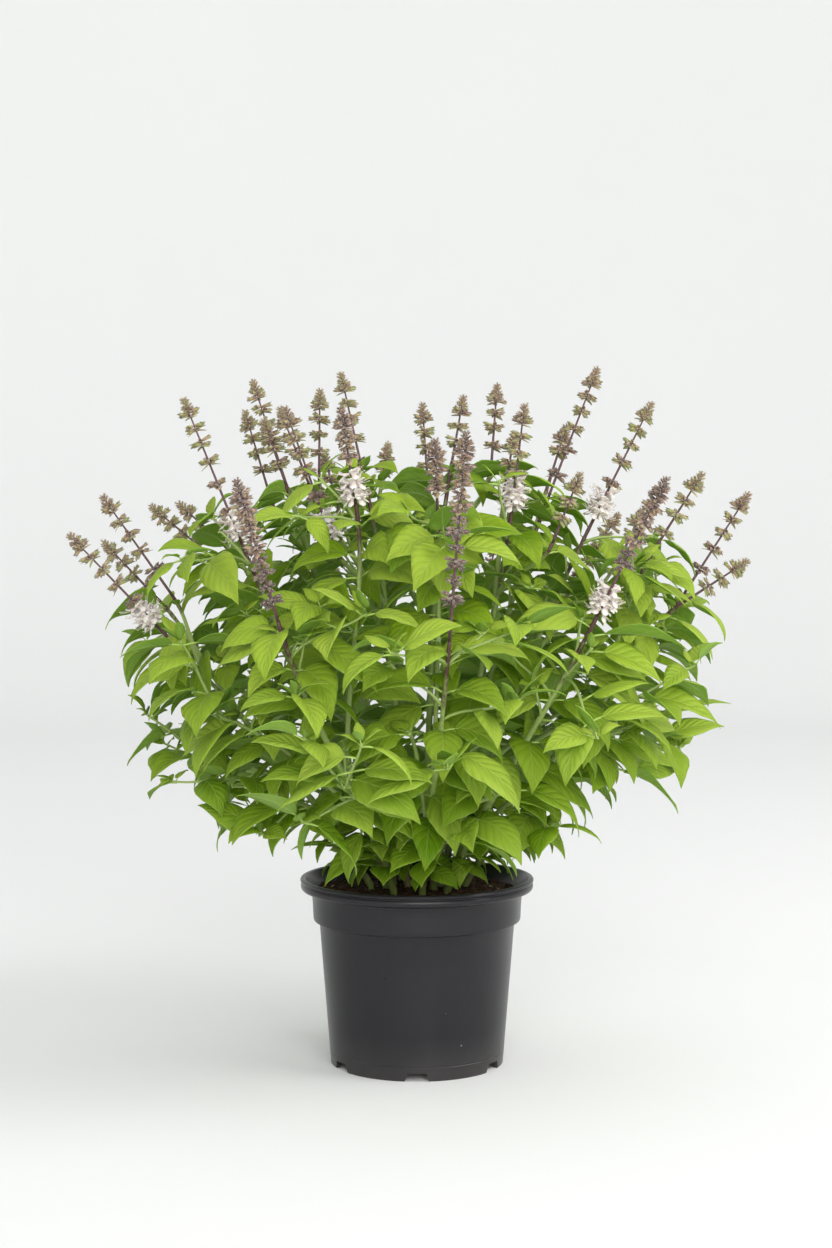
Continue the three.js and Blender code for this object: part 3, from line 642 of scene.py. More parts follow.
# Side shoots: short leafy twigs that leave the stems and fill the outside of the bush, as the real
# one's do. They aim at places spread evenly over the egg that the foliage fills.
SIDE_SHOOTS, GOLDEN_TURN = 155, 2.39996
SHOOT_DEPTH = (0.52, 0.95)
SHORTEST_TWIG, LONGEST_TWIG, LEAST_RISE, TWIG_SOURCE = 28, 95, 0.45, 100
TWIG_HALF, TWIG_TOP = 1.0, 0.65
TWIG_BALL, TWIG_ROOM, EXTRA_ROOM = 2.2, 1.2, 2.5
dice = np.random.default_rng(47)
shares = np.linspace(0.25, 0.93, 30)
starts = [(stem, axis, s) for stem in stems for axis in stem["axes"] for s in shares]
start_places = np.concatenate([along(axis["path"], shares) for stem in stems for axis in stem["axes"]])
for i in range(SIDE_SHOOTS):
    turn, tilt, reach = i * GOLDEN_TURN, math.asin(dice.uniform(-0.9, 0.99)), dice.uniform(*SHOOT_DEPTH)
    out = reach * BUSH_RADIUS * math.cos(tilt)
    high = BUSH_WAIST + reach * (BUSH_ABOVE if tilt > 0 else BUSH_BELOW) * math.sin(tilt)
    end = np.array([out * math.cos(turn), out * math.sin(turn), high])
    gap = end - start_places
    far = np.linalg.norm(gap, axis=1)
    rising = (gap @ unit(end - [0, 0, TWIG_SOURCE])) / far
    cost = np.where((far > SHORTEST_TWIG) & (rising > LEAST_RISE), far, np.inf)
    best = int(cost.argmin())
    if cost[best] > LONGEST_TWIG:
        continue
    stem, axis, share = starts[best]
    start = start_places[best]
    way = heading_of(axis["path"], share)
    ahead = unit(end - start)
    path = curve(start, unit(ahead + way * 0.8), end, unit(ahead + unit(end * [1, 1, 0]) * 0.3 + UP * 0.2))
    if not is_open(path, stem["number"], TWIG_ROOM):
        continue
    add_axis(stem, path, TWIG_HALF, TWIG_TOP, "twig", TWIG_BALL)

# The further leaves stay above the soil and over the pot's rim, and hang a little lower outside it.
SKIRT_BELOW, SOIL_CLEAR, RIM_CLEAR = 166, 131, 137
RIM_INSIDE, RIM_OUTSIDE = 76, 96
SIDE_FACE_OUT = 0.35


def grow_leaf(stem, root, free, lengths, tries, rise=(-0.2, 0.8), droop=(0.5, 1.6), age=1.0,
              pull=(0.0, 0.7), room=EXTRA_ROOM):
    outward = math.atan2(root[1], root[0])
    for _ in range(tries):
        aim = free + dice.uniform(-0.6, 0.6)
        heading = aim + swing_between(aim, outward) * dice.uniform(*pull)
        leaf = {"root": root, "heading": heading, "rise": dice.uniform(*rise),
                "droop": dice.uniform(*droop), "length": dice.uniform(*lengths),
                "roll": SIDE_FACE_OUT * math.sin(heading - outward) + dice.uniform(-0.6, 0.6), "age": age}
        places = leaf_places(leaf)
        out = np.hypot(places[:, 0], places[:, 1])
        least = np.where(out < RIM_INSIDE, SOIL_CLEAR, np.where(out < RIM_OUTSIDE, RIM_CLEAR, 0))
        if (places[:, 2] >= least).all() and is_clear(places, stem["number"], root, room, SKIRT_BELOW):
            claim(places, EXTRA_ROOM, stem["number"])
            stem["leaves"].append(leaf)
            return True
    return False


# The open flowers aren't buried: leaves keep a little way off them, in front too. The three tall shoots
# in front stand clear of the leaves over most of their length.
NO_STEM = -1
BARE_STEM_ROOM, BARE_SHARES = 13, np.linspace(0.35, 0.9, 20)
for stem in stems:
    for foot, tip, flowers in stem["spikes"]:
        if flowers:
            ring = foot + unit(tip - foot) * FLOWERS_ABOVE_FOOT
            claim([ring - [0, k * FLOWER_REACH, 0] for k in range(3)], FLOWER_REACH + 2, NO_STEM)
    if stem["name"].startswith("front"):
        middle = along(stem["axes"][0]["path"], BARE_SHARES)
        claim(middle - [0, 1.4 * BARE_STEM_ROOM, 0], BARE_STEM_ROOM, NO_STEM)

# A few smaller leaves hang over the pot from the lowest joints of each stem.
FOOT_LEAVES, FOOT_LEAF_LENGTHS = (20, 32, 45, 60, 76), (26, 50)
for stem in stems:
    axis = stem["axes"][0]
    turn = dice.uniform(0, math.pi)
    for k, up in enumerate(FOOT_LEAVES):
        share = up / chord(axis["path"])
        root = along(axis["path"], share)
        for opposite in (0, math.pi):
            grow_leaf(stem, root, turn + k * math.pi / 2 + opposite, FOOT_LEAF_LENGTHS, 50,
                      rise=(-0.7, 0.6), droop=(0.5, 1.8), pull=(0.0, 0.9), room=1.2)
        axis["pairs"].append(share)

# Further pairs fill the shoots, from near the tip down to a bare foot.
TWIG_JOINTS, SHOOT_JOINTS = (3, 19, 12), (16, 34, 60)
FULL_LEAF, LOST_ON_TOP, JOINT_GROWTH = 71, 12, 1.12
for stem in stems:
    for axis in stem["axes"]:
        path, long, twig = axis["path"], chord(axis["path"]), axis["kind"] == "twig"
        turn = dice.uniform(0, math.pi)
        far, step, bare = TWIG_JOINTS if twig else SHOOT_JOINTS
        while far < long - bare:
            share = 1 - far / long
            root = along(path, share)
            size = FULL_LEAF - LOST_ON_TOP * height_share(root)
            if far == TWIG_JOINTS[0]:
                size *= 0.8
            lengths = (size * 0.72, size * 1.12)
            if any([grow_leaf(stem, root, turn + opposite, lengths, 8) for opposite in (0, math.pi)]):
                axis["pairs"].append(share)
            far, step, turn = far + step, step * JOINT_GROWTH, turn + math.pi / 2

# Tufts: pairs of small pale young leaves in the axils and at the tips of the leafy shoots.
TIP_LEAF, AXIL_LEAF, TUFT_EVERY = 28, 19, 7
for stem in stems:
    for axis in stem["axes"]:
        tips = [1.0] if axis["kind"] in ("twig", "low") else []
        for share in axis["pairs"][::TUFT_EVERY] + tips:
            root = along(axis["path"], min(share + 0.5 / chord(axis["path"]), 1.0))
            free = dice.uniform(0, 2 * math.pi)
            size, step = (TIP_LEAF, math.pi / 2) if share == 1.0 else (AXIL_LEAF, math.pi)
            for k in range(2):
                grow_leaf(stem, root, free + k * step, (size * 0.6, size * 1.2), 2, rise=(0.5, 1.3),
                          droop=(0.5, 1.3), age=dice.uniform(0.0, 0.4), pull=(0.0, 0.3), room=0.6)


def spokes(side, other, angle):
    angle = np.asarray(angle)[..., None]
    return np.cos(angle) * side + np.sin(angle) * other


def tube(heap, places, side, other, reach, around, look, **traits):
    side, other = (np.broadcast_to(way, places.shape)[:, None] for way in (side, other))
    ring = spokes(side, other, np.arange(around) * 2 * math.pi / around)
    points = places[:, None] + ring * np.broadcast_to(reach, (len(places), around))[..., None]
    spread = {name: np.repeat(value, around) if np.ndim(value) else value for name, value in traits.items()}
    heap.put(points, closed_rings(len(places), around), look, **spread)


STEM_SIDES, SQUARENESS = 8, 4
angle = np.arange(STEM_SIDES) * 2 * math.pi / STEM_SIDES
square = np.abs(np.cos(angle)) ** SQUARENESS + np.abs(np.sin(angle)) ** SQUARENESS
square = square ** (-1 / SQUARENESS) * 1.04

# Basil stem: juicy green and softly square, woody and mottled brown at the soil, flushed purple-brown
# towards the flowers, and swollen a little at each pair of leaves. Low down it is painted a darker olive,
# painted shade from the foliage above.
green_stem, add, place = new_material("square basil stem")
ripe = add("Attribute", attribute_name="ripe").outputs["Fac"]
wood = add("Attribute", attribute_name="wood").outputs["Fac"]
fleck = add("TexNoise", {
    "Vector": add("VectorMath", {0: place, 1: (1.0, 1.0, 0.22)}, operation="MULTIPLY"),
    "Scale": 420.0, "Detail": 4.0})
wide = add("TexNoise", {"Vector": place, "Scale": 22.0, "Detail": 2.0})
shade = add("Mix", {0: wide, 6: "#849F42", 7: "#AABD76"})
edge_of_ripe = add("Math", {0: ripe, 1: fleck}, operation="ADD")
ripe_share = add("MapRange", {0: edge_of_ripe, 1: 0.75, 2: 1.25})
high = add("SeparateXYZ", {0: place}).outputs["Z"]
# Painted shade: the stem is darkened to olive below 0.21 m, where the foliage shades it.
painted_shade_at_foot = add("MapRange", {0: high, 1: 0.21, 2: 0.14, 3: 0.0, 4: 0.85})
edge_of_wood = add("Math", {0: wood, 1: fleck}, operation="ADD")
wood_share = add("MapRange", {0: edge_of_wood, 1: 0.8, 2: 1.3})
brown = add("Mix", {0: fleck, 6: "#5E4A33", 7: "#A38E66"})
for share, tint in ((ripe_share, "#563A38"), (painted_shade_at_foot, "#566428"), (wood_share, brown)):
    shade = add("Mix", {0: share, 6: shade, 7: tint})
rise = add("Bump", {"Height": fleck, "Strength": 0.35, "Distance": 0.0004})
skin = add("BsdfPrincipled", {"Base Color": shade, "Roughness": 0.5, "Normal": rise, "IOR": 1.42})
add("OutputMaterial", {"Surface": skin})

STEP_ALONG, JOINT_BAND, JOINT_SWELL, JOINT_LONG = 6, np.array([-4, 0, 4]), 0.22, 2.6
RIPE_FROM, WOOD_TO, WOOD_FADE, SUNK = 0.62, 185, 50, 22
OLD_STEM_OUT, OLD_WOOD, YOUNG_WOOD = 13, 0.85, 0.3
for stem in stems:
    heap = Heap()
    woody = OLD_WOOD if math.hypot(*stem["root"][:2]) < OLD_STEM_OUT else YOUNG_WOOD
    for axis in stem["axes"]:
        path, long = axis["path"], chord(axis["path"])
        share = np.linspace(0, 1, max(6, math.ceil(long / STEP_ALONG)))
        share = np.unique(np.concatenate([share, *[JOINT_BAND / long + joint for joint in axis["pairs"]]]))
        share = share[(share >= 0) & (share <= 1)]
        place, way, side, _ = stem_frame(stem["lean"], path, share)
        half = axis["half"] + (axis["top"] - axis["half"]) * share
        for joint in axis["pairs"]:
            half = half * (1 + JOINT_SWELL * np.exp(-(((share - joint) * long / JOINT_LONG) ** 2)))
        ripe = np.zeros(len(share))
        if axis["kind"] in ("main", "branch"):
            ripe = np.clip((share - RIPE_FROM) / (1 - RIPE_FROM), 0, 1) * 0.95
        wood = np.clip((WOOD_TO - place[:, 2]) / WOOD_FADE, 0, 1) * woody
        if axis["kind"] == "main":
            place, way, side, half, ripe, wood = (
                np.concatenate([a[:1], a]) for a in (place, way, side, half, ripe, wood))
            place[0] -= UP * SUNK
        tube(heap, place, side, np.cross(way, side), half[:, None] * square, STEM_SIDES, 0,
             ripe=ripe, wood=wood)
    piece = heap.piece("shoots_" + stem["name"], [green_stem])
    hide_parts("stem_" + stem["name"])
    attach(piece, "root")


# Leaves: thin, soft, ovate blades with a long point and a few shallow teeth, arched on a short stalk,
# their side veins pressed in above and raised below. Each is a closed sheet 0.35 mm thick.
STALK_END = 0.17
# How finely a blade is drawn, by its length: the least length, points along it and points across it.
BLADE_GRIDS = ((45, (0, 0.035, 0.09, 0.17, 0.26, 0.36, 0.47, 0.58, 0.69, 0.79, 0.88, 0.95, 1), 7),
               (30, (0, 0.05, 0.14, 0.26, 0.4, 0.55, 0.7, 0.84, 0.94, 1), 5),
               (0, (0, 0.12, 0.32, 0.56, 0.8, 1), 3))
TOOTH, BLADE_FULLNESS, POINT_FROM, POINT_DROOP, BLADE_SUNK = 0.014, 1.03, 0.78, 0.5, 0.5
OUTLINE_T = [0, 0.03, 0.08, 0.15, 0.24, 0.34, 0.46, 0.58, 0.7, 0.8, 0.88, 0.94, 1.0]
OUTLINE_W = [0.06, 0.3, 0.57, 0.82, 0.96, 1.0, 0.95, 0.81, 0.59, 0.37, 0.21, 0.1, 0.008]
BLADE_THICKNESS, STALK_SIDES, STALK_OVERLAP, STALK_SUNK = 0.35, 5, 0.05, 0.7
STALK_TAPER, STALK_SHARE, STALK_MOST = np.array([[1.25], [1], [0.7]]), 0.017, 0.75


def sheet_faces(rows, columns):
    a = (np.arange(rows - 1)[:, None] * columns + np.arange(columns - 1)).reshape(-1)
    top = np.stack([a, a + columns, a + columns + 1, a + 1], axis=1)
    n = rows * columns
    rim = [i * columns for i in range(rows)] + [(rows - 1) * columns + j for j in range(1, columns)]
    rim += [i * columns + columns - 1 for i in range(rows - 2, -1, -1)] + list(range(columns - 2, 0, -1))
    side = [[q, p, p + n, q + n] for p, q in zip(rim, rim[1:] + rim[:1])]
    return top.tolist() + (top[:, ::-1] + n).tolist() + side, [0] * len(top) + [1] * (len(top) + len(side))


BLADES = [(least, np.array(t), np.linspace(-1, 1, columns), sheet_faces(len(t), columns))
          for least, t, columns in BLADE_GRIDS]


def put_leaf(heap, leaf, dice):
    _, t, s, (faces, looks) = next(blade for blade in BLADES if leaf["length"] >= blade[0])
    u = STALK_END + (1 - STALK_END) * t
    place, across, way, face = leaf_line(leaf, u)
    length = leaf["length"]
    teeth = TOOTH * np.where(np.arange(len(t)) % 2, 1, -1) * np.sin(math.pi * t)
    half = BLADE_FULLNESS * (np.interp(t, OUTLINE_T, OUTLINE_W) + teeth) * length * LEAF_HALF_WIDTH
    fold, curl, wave = dice.uniform(0.12, 0.55), dice.uniform(0.15, 0.4), dice.uniform(0.0, 0.08)
    sweep, phase, beat = dice.uniform(-0.05, 0.05), dice.uniform(0, 6.28, 2), dice.uniform(1.2, 2.6)
    t, half = t[:, None], half[:, None]
    ripple = np.sin(beat * 2 * math.pi * t + np.where(s < 0, phase[0], phase[1]))
    lift = half * (fold * np.abs(s) - curl * np.abs(s) ** 3 + wave * s**2 * ripple)
    lift = lift - POINT_DROOP * length * np.clip(t - POINT_FROM, 0, 1) ** 2 - BLADE_SUNK
    x = s * half + sweep * length * t**2
    top = place[:, None] + across * x[..., None] + face[:, None] * lift[..., None]
    under = top - face[:, None] * BLADE_THICKNESS
    spots = np.stack(np.broadcast_arrays(t, (s + 1) / 2), axis=-1)
    traits = {"tone": dice.uniform(), "age": leaf["age"]}
    heap.put([top, under], faces, looks, [spots, spots], **traits)
    place, across, way, face = leaf_line(leaf, np.linspace(0, STALK_END + STALK_OVERLAP, 3))
    reach = min(STALK_MOST, STALK_SHARE * length) * STALK_TAPER
    tube(heap, place - face * STALK_SUNK, across, np.cross(way, across), reach, STALK_SIDES, 2, **traits)


# Basil leaf, upper side: satin and slightly puckered, mid green, with a paler midrib and side veins
# that curve forward. Young leaves are paler, and light comes through. Painted light and shade: leaves
# far out from the middle are painted paler, low ones painted darker, and the margin painted paler as
# a painted rim light.
def leaf_veins(add, pairs):
    spot = add("SeparateXYZ", {0: add("UVMap", uv_map="blade")})
    signed = add("Math", {0: spot.outputs["Y"], 1: 2.0, 2: -1.0}, operation="MULTIPLY_ADD")
    out = add("Math", {0: signed}, operation="ABSOLUTE")
    right = add("Math", {0: signed, 1: 0.0}, operation="GREATER_THAN")
    bent = add("Math", {0: out, 1: 0.8}, operation="POWER")
    forward = add("Math", {0: bent, 1: -0.34, 2: spot.outputs["X"]}, operation="MULTIPLY_ADD")
    count = add("Math", {0: forward, 1: pairs, 2: 0.35}, operation="MULTIPLY_ADD")
    count = add("Math", {0: right, 1: 0.3, 2: count}, operation="MULTIPLY_ADD")
    gap = add("Math", {0: count, 1: 0.5}, operation="PINGPONG")
    line = add("MapRange", {0: gap, 1: 0.06, 2: 0.01}, interpolation_type="SMOOTHSTEP")
    fade = add("MapRange", {0: out, 1: 0.98, 2: 0.6})
    side = add("Math", {0: line, 1: fade}, operation="MULTIPLY")
    middle = add("MapRange", {0: out, 1: 0.07, 2: 0.02}, interpolation_type="SMOOTHSTEP")
    veins = add("Math", {0: side, 1: middle}, operation="MAXIMUM")
    pucker = add("MapRange", {0: gap, 1: 0.0, 2: 0.42}, interpolation_type="SMOOTHSTEP")
    # The blade's margin, which the upper side paints paler as a painted rim light.
    painted_rim_light_margin = add("MapRange", {0: out, 1: 0.9, 2: 1.0}, interpolation_type="SMOOTHSTEP")
    return veins, pucker, painted_rim_light_margin


def let_light_through(add, skin, shade, rise, share):
    glow = add("Mix", {0: 0.6, 6: shade, 7: "#B6E01E"})
    through = add("BsdfTranslucent", {"Color": glow, "Normal": rise})
    both = add("MixShader", {0: share, 1: skin, 2: through})
    add("OutputMaterial", {"Surface": both})


VEIN_PAIRS = 7.0
leaf_top, add, place = new_material("basil leaf upper side")
veins, pucker, painted_rim_light_margin = leaf_veins(add, VEIN_PAIRS)
tone = add("Attribute", attribute_name="tone").outputs["Fac"]
age = add("Attribute", attribute_name="age").outputs["Fac"]
cloud = add("TexNoise", {"Vector": place, "Scale": 45.0, "Detail": 4.0})
grain = add("TexNoise", {"Vector": place, "Scale": 1100.0, "Detail": 2.0})
shade = add("ValToRGB", {0: tone}, stops=[(0.0, "#658D06"), (0.55, "#8FB01C"), (1.0, "#B2CA4C")])
patch = add("MapRange", {0: cloud, 1: 0.35, 2: 0.7, 3: 0.0, 4: 0.5})
young = add("MapRange", {0: age, 1: 1.0, 2: 0.0, 3: 0.0, 4: 0.8})
# Painted shade: leaves below 0.31 m are darkened, most at 0.17 m, where the bush shades them.
high = add("SeparateXYZ", {0: place}).outputs["Z"]
painted_shade_low = add("MapRange", {0: high, 1: 0.31, 2: 0.17, 3: 0.0, 4: 0.35})
# Painted light: leaves more than 0.12 m out from the middle are painted paler, most at 0.22 m, as on the
# lit outside.
flat = add("VectorMath", {0: place, 1: (1.0, 1.0, 0.0)}, operation="MULTIPLY")
reach = add("VectorMath", {0: flat}, operation="LENGTH").outputs["Value"]
painted_light_outside = add("MapRange", {0: reach, 1: 0.12, 2: 0.22, 3: 0.0, 4: 0.4})
# Paler midrib and side veins, and the margin painted paler as a painted rim light.
pale = add("Math", {0: veins, 1: 0.34}, operation="MULTIPLY")
pale = add("Math", {0: painted_rim_light_margin, 1: 0.4, 2: pale}, operation="MULTIPLY_ADD")
for share, tint in (
        (patch, "#AEC43C"), (young, "#B4CC44"), (painted_shade_low, "#4F7408"), (painted_light_outside, "#C4D85A"), (pale, "#C0D870")):
    shade = add("Mix", {0: share, 6: shade, 7: tint})
height = add("Math", {0: veins, 1: -1.0, 2: pucker}, operation="MULTIPLY_ADD")
height = add("Math", {0: grain, 1: 0.25, 2: height}, operation="MULTIPLY_ADD")
rise = add("Bump", {"Height": height, "Strength": 0.45, "Distance": 0.0008})
gloss = add("MapRange", {0: cloud, 1: 0.3, 2: 0.7, 3: 0.4, 4: 0.52})
skin = add("BsdfPrincipled", {
    "Base Color": shade, "Roughness": gloss, "Normal": rise, "IOR": 1.45, "Specular IOR Level": 0.22})
let_light_through(add, skin, shade, rise, 0.36)

# Basil leaf, under side: paler, duller and greyer, with the veins standing out.
leaf_under, add, place = new_material("basil leaf under side")
veins, _, _ = leaf_veins(add, VEIN_PAIRS)
cloud = add("TexNoise", {"Vector": place, "Scale": 60.0, "Detail": 4.0})
shade = add("Mix", {0: cloud, 6: "#82A836", 7: "#9CBC54"})
vein_share = add("Math", {0: veins, 1: 0.5}, operation="MULTIPLY")
shade = add("Mix", {0: vein_share, 6: shade, 7: "#C6D8A0"})
rise = add("Bump", {"Height": veins, "Strength": 0.6, "Distance": 0.0006})
skin = add("BsdfPrincipled", {"Base Color": shade, "Roughness": 0.62, "Normal": rise, "IOR": 1.42})
let_light_through(add, skin, shade, rise, 0.3)


# Leaf stalk: pale juicy green, clouded every 7 mm or so.
def mottled(name, scale, detail, dark, light, **finish):
    made, add, place = new_material(name)
    cloud = add("TexNoise", {"Vector": place, "Scale": scale, "Detail": detail})
    shade = add("Mix", {0: cloud, 6: dark, 7: light})
    skin = add("BsdfPrincipled", {"Base Color": shade, **finish})
    add("OutputMaterial", {"Surface": skin})
    return made


stalk = mottled("basil leaf stalk", 150.0, 2.0, "#8DAE44", "#B0C96C", Roughness=0.5, IOR=1.42)

dice = np.random.default_rng(7)
for stem in stems:
    heap = Heap()
    for leaf in stem["leaves"]:
        put_leaf(heap, leaf, dice)
    piece = heap.piece("leaves_" + stem["name"], [leaf_top, leaf_under, stalk])
    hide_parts("stem_" + stem["name"])
    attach(piece, "root")


# Flower spikes: each shoot ends in a purple-brown square rachis with spaced whorls of small toothed
# calyces over a pair of pointed bracts, all short-haired, closing up to a tapering tip of young ones.
CALYX_SIDES = 6
CALYX_ALONG = np.array([-0.4, 1.2, 3.8, 5.6])
CALYX_WIDE = np.array([0.4, 1.0, 1.3, 1.65])
CALYX_TONES = [-0.5, -0.35, 0.0, 0.2, -0.6]


def frame_round(way):
    side = unit(np.cross(way, [0.0, 1.0, 0.0]))
    return side, np.cross(way, side)


def put_calyx(heap, base, out, size, tone, dice):
    turn = np.arange(CALYX_SIDES) * 2 * math.pi / CALYX_SIDES + dice.uniform(0, 1)
    ring = spokes(*frame_round(out), turn)
    teeth = np.where(np.arange(CALYX_SIDES) % 2, 2.0, -0.4)
    rows = [base + out * a * size + ring * w * size for a, w in zip(CALYX_ALONG, CALYX_WIDE)]
    rows[-1] = rows[-1] + out * (teeth * size)[:, None]
    rows.append(base + out * 3.4 * size + ring * 0.9 * size)
    tones = np.clip(np.repeat(np.add(CALYX_TONES, tone), CALYX_SIDES), 0, 1)
    heap.put(rows, closed_rings(len(rows), CALYX_SIDES), 1, tone=tones)


BRACT_T = np.array([0, 0.35, 0.7, 1.0])
BRACT_W = np.array([0.25, 1.0, 0.62, 0.03])
BRACT_FACES = sheet_faces(4, 3)[0]
BRACT_LONG, BRACT_LEAST, BRACT_WIDE, BRACT_THICK = 6, 1.6, 2.1, 0.25


def put_bract(heap, base, out, up, length, width, tone):
    across = unit(np.cross(up, out))
    normal = np.cross(out, across)
    t = BRACT_T[:, None, None]
    x = np.array([-1, 0, 1])[None, :, None] * BRACT_W[:, None, None] * width
    bow = normal * (0.25 * length * t * (1 - t) - 0.25 * np.abs(x))
    top = base + out * length * t + across * x + bow
    heap.put([top, top - normal * BRACT_THICK], BRACT_FACES, 1, tone=tone)


# Rachis: thin, square and dull purple-brown.
rachis = mottled("basil flower stalk", 500.0, 3.0, "#482F33", "#705054", Roughness=0.6)

# Down on the calyces: short stiff hairs, nearly white, which catch the light round each whorl.
down = mottled("pale hairs of the calyces", 300.0, 1.0, "#C9BBA6", "#EDE4D6", Roughness=0.6)

# Calyces and bracts: papery and dry, dull purple-brown to olive, dusted with short pale hairs.
husk, add, place = new_material("dry basil calyx")
tone = add("Attribute", attribute_name="tone").outputs["Fac"]
fleck = add("TexNoise", {"Vector": place, "Scale": 700.0, "Detail": 3.0})
shade = add("ValToRGB", {0: tone}, stops=[
    (0.0, "#4C3534"), (0.35, "#8E6C60"), (0.65, "#A08E5E"), (1.0, "#8A964C")])
pale = add("MapRange", {0: fleck, 1: 0.45, 2: 0.75, 3: 0.0, 4: 0.6})
shade = add("Mix", {0: pale, 6: shade, 7: "#D6C6A6"})
rise = add("Bump", {"Height": fleck, "Strength": 0.5, "Distance": 0.0004})
skin = add("BsdfPrincipled", {
    "Base Color": shade, "Roughness": 0.75, "Normal": rise, "Sheen Weight": 0.4, "Sheen Roughness": 0.5})
add("OutputMaterial", {"Surface": skin})

HAIRS_A_CALYX, HAIR_REACH = 8, 0.1
HAIR_FACES = np.array([[0, 1, 3], [1, 2, 3], [2, 0, 3], [2, 1, 0]])


def put_hairs(heap, calyces, dice):
    base, way = np.repeat(calyces, HAIRS_A_CALYX, axis=0).transpose(1, 0, 2)
    count = len(base)
    aim = way * dice.uniform(-0.2, 1.0, (count, 1)) + dice.normal(0, 0.7, (count, 3))
    aim /= np.linalg.norm(aim, axis=1, keepdims=True)
    side = np.cross(aim, [0.3, 0.8, 0.52])
    side /= np.linalg.norm(side, axis=1, keepdims=True)
    foot = base + way * dice.uniform(1.0, 5.0, (count, 1)) + aim * 0.9
    ring = spokes(side[:, None], np.cross(aim, side)[:, None], np.arange(3) * 2 * math.pi / 3)
    tip = foot + aim * dice.uniform(1.0, 2.6, (count, 1))
    points = np.concatenate([foot[:, None] + ring * HAIR_REACH, tip[:, None]], axis=1)
    faces = (HAIR_FACES[None] + 4 * np.arange(count)[:, None, None]).reshape(-1, 3)
    heap.put(points, faces.tolist(), 2, tone=0.5)


# Whorls lie at growing steps down from the tip, each with its size. Small ones near the tip have fewer
# calyces and more bracts, and the shoots in front, nearly over, have one whorl more between each two.
FIRST_WHORL, WHORL_STEP, WHORL_GROWTH, WHORL_SIZE, BETWEEN_SIZE = 14, 10, 1.2, 1.15, 0.8
TIP_WHORLS = [(far, 0.3 + 0.042 * far) for far in (3.0, 5.2, 7.8, 10.8)]
FULL_RING, TIP_RING, FULL_FROM = (8, 2), (5, 4), 0.7
RACHIS_HALF, RACHIS_TIP, YOUNG_TO, OLD_WHORLS = 1.05, 0.45, 16, 75
CALYX_FOOT, CALYX_LEVELS = 0.8, (-0.8, 1.1)
FLOWERS_ROOM, LEAF_ROOM = 21, 9
dice = np.random.default_rng(19)
for stem in stems:
    crowded = stem["name"].startswith("front")
    for i, (foot, tip, flowers) in enumerate(stem["spikes"]):
        heap = Heap()
        long = np.linalg.norm(tip - foot)
        way = (tip - foot) / long
        side, other = frame_round(way)
        share = np.linspace(0, 1, 14)[:, None]
        reach = (RACHIS_HALF + (RACHIS_TIP - RACHIS_HALF) * share) * square
        tube(heap, foot + way * share * (long - 2), side, other, reach, STEM_SIDES, 0, tone=0.2)
        whorls, far, step = list(TIP_WHORLS), FIRST_WHORL, WHORL_STEP
        foot_room = FLOWERS_ROOM if flowers else LEAF_ROOM
        while far < long - foot_room:
            whorls.append((far, WHORL_SIZE))
            if crowded and far + step < long - foot_room:
                whorls.append((far + step / 2, BETWEEN_SIZE))
            far, step = far + step, step * WHORL_GROWTH
        olive = dice.uniform(-0.35, -0.2) if crowded else dice.uniform(-0.05, 0.2)
        calyces = []
        for n, (far, size) in enumerate(whorls):
            middle = foot + way * (long - far)
            count, bracts = FULL_RING if size > FULL_FROM else TIP_RING
            turn = n * math.pi / FULL_RING[0] + dice.uniform(-0.2, 0.2)
            young = max(0.0, 1 - far / YOUNG_TO)
            ripe = 0.2 + 0.5 * math.sin(math.pi * min(1.0, (far + 4) / OLD_WHORLS))
            for k in range(count):
                out = spokes(side, other, turn + k * 2 * math.pi / count + dice.uniform(-0.15, 0.15))
                aim = unit(out + way * (dice.uniform(-0.4, 0.2) + 1.3 * young))
                tone = olive + ripe + dice.uniform(-0.3, 0.3)
                base = middle + out * CALYX_FOOT + way * CALYX_LEVELS[k % 2] * size
                put_calyx(heap, base, aim, size * dice.uniform(0.72, 0.98), tone, dice)
                calyces.append((base, aim * size))
            for k in range(bracts):
                out = spokes(side, other, turn + k * 2 * math.pi / bracts + n)
                put_bract(heap, middle - way * 1.6, unit(out + way * (1.9 * young - 0.4)), way,
                          BRACT_LONG * size + BRACT_LEAST, BRACT_WIDE * size,
                          np.clip(olive + ripe + 0.1, 0, 1))
        put_hairs(heap, np.array(calyces), dice)
        piece = heap.piece(f"flower_spike_{stem['name']}_{i + 1}", [rachis, husk, down])
        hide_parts(f"spike_{stem['name']}_{i + 1}")
        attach(piece, "root")


# Open flowers: rings of small two-lipped white flowers flushed with pink round the foot of some
# spikes, each a short throat with four upper petals, a lower lip and long thin stamens curving out.
PETAL_T = np.array([0, 0.3, 0.6, 0.85, 1])
PETAL_W = np.array([0.35, 0.85, 1.0, 0.75, 0.3])
PETAL_FACES = sheet_faces(5, 3)[0]
THROAT_T, THROAT_HALF = np.linspace(0, 4.2, 4)[:, None], np.array([[0.7], [0.9], [1.3], [1.8]])
UPPER_PETALS, UPPER_LONG, UPPER_WIDE, LIP_LONG, LIP_WIDE = (-0.75, -0.25, 0.25, 0.75), 4.2, 1.5, 5.2, 2.0
PETAL_THICK, STAMENS, STAMEN_HALF, ANTHER_HALF = 0.2, 3, 0.15, 0.42


def put_petal(heap, base, out, up, length, width, cup, back):
    across = unit(np.cross(up, out))
    normal = unit(np.cross(out, across))
    t = PETAL_T[:, None, None]
    s = np.linspace(-1, 1, 3)[None, :, None]
    x = s * PETAL_W[:, None, None] * width
    rise = normal * (cup * width * s**2 + back * length * t**2 + 0.12 * width * np.sin(9 * t) * s**2)
    top = base + out * length * t + across * x + rise
    spots = np.stack(np.broadcast_arrays(t[..., 0], (s[..., 0] + 1) / 2), axis=-1)
    heap.put([top, top - normal * PETAL_THICK], PETAL_FACES, 0, [spots, spots])


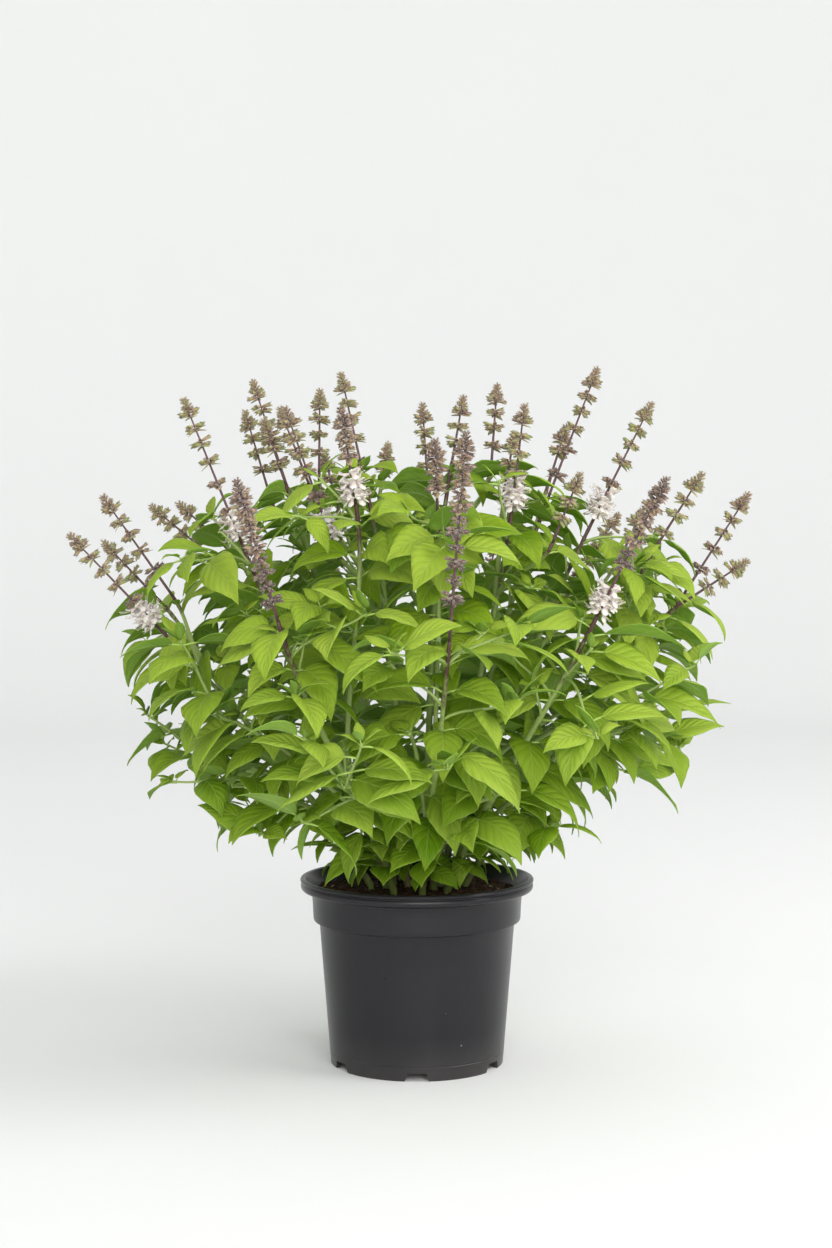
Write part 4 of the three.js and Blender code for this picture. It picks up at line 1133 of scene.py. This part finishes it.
def put_flower(heap, base, out, way, size, dice):
    side = unit(np.cross(way, out))
    throat = base + out * 3.2 * size
    tube(heap, base + out * size * THROAT_T, side, np.cross(out, side), THROAT_HALF * size, 8, 0)
    for lean in UPPER_PETALS:
        aim = unit(out * 0.75 + way * 0.8 + side * lean)
        put_petal(heap, throat, aim, unit(way * 0.6 - out * 0.8), UPPER_LONG * size, UPPER_WIDE * size,
                  0.25, dice.uniform(-0.3, 0.0))
    aim = unit(out + way * -0.35)
    put_petal(heap, throat, aim, way, LIP_LONG * size, LIP_WIDE * size, -0.35, -0.25)
    bend = np.linspace(0, 1, 5)[:, None]
    for _ in range(STAMENS):
        lean = side * dice.uniform(-0.35, 0.35)
        aim = unit(out + way * dice.uniform(-0.1, 0.35) + lean)
        line = throat + aim * bend * dice.uniform(5.0, 7.5) * size + way * bend**2 * 1.6 * size
        tube(heap, line, side, np.cross(aim, side), STAMEN_HALF * size + 0.03, 3, 1)
        heap.put(CRUMB * ANTHER_HALF * size + line[-1], CRUMB_FACES, 2)


# Petal: thin, soft and matt, white with a pink-lilac flush towards the throat; light comes through.
petal, add, place = new_material("basil petal")
spot = add("SeparateXYZ", {0: add("UVMap", uv_map="blade")})
cloud = add("TexNoise", {"Vector": place, "Scale": 300.0, "Detail": 2.0})
throat = add("MapRange", {0: spot.outputs["X"], 1: 0.0, 2: 0.8, 3: 0.75, 4: 0.1})
flush = add("Math", {0: throat, 1: cloud}, operation="MULTIPLY")
shade = add("Mix", {0: flush, 6: "#FFFCF6", 7: "#EDD2D2"})
skin = add("BsdfPrincipled", {"Base Color": shade, "Roughness": 0.55})
through = add("BsdfTranslucent", {"Color": shade})
both = add("MixShader", {0: 0.3, 1: skin, 2: through})
add("OutputMaterial", {"Surface": both})

# Stamens: white threads with small cream anthers.
thread = mottled("basil stamen", 400.0, 1.0, "#F6EEEA", "#E0C8CC", Roughness=0.5)
pollen = mottled("basil anther", 900.0, 1.0, "#E8DDB8", "#C9B98C", Roughness=0.8)

FLOWER_ROWS = ((-4.0, 6), (1.0, 8), (6.5, 5), (12.5, 3))
dice = np.random.default_rng(23)
for stem in stems:
    for i, (foot, tip, flowers) in enumerate(stem["spikes"]):
        if not flowers:
            continue
        heap = Heap()
        way = unit(tip - foot)
        side, other = frame_round(way)
        for row, count in FLOWER_ROWS:
            for k in range(count):
                out = spokes(side, other, k * 2 * math.pi / count + row + dice.uniform(-0.2, 0.2))
                base = foot + way * (FLOWERS_ABOVE_FOOT + row) + out * 1.1
                put_flower(heap, base, unit(out + way * dice.uniform(-0.35, 0.3)), way,
                           dice.uniform(1.0, 1.3), dice)
        piece = heap.piece(f"open_flowers_{stem['name']}_{i + 1}", [petal, thread, pollen])
        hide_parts(f"flowers_{stem['name']}_{i + 1}")
        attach(piece, "root")
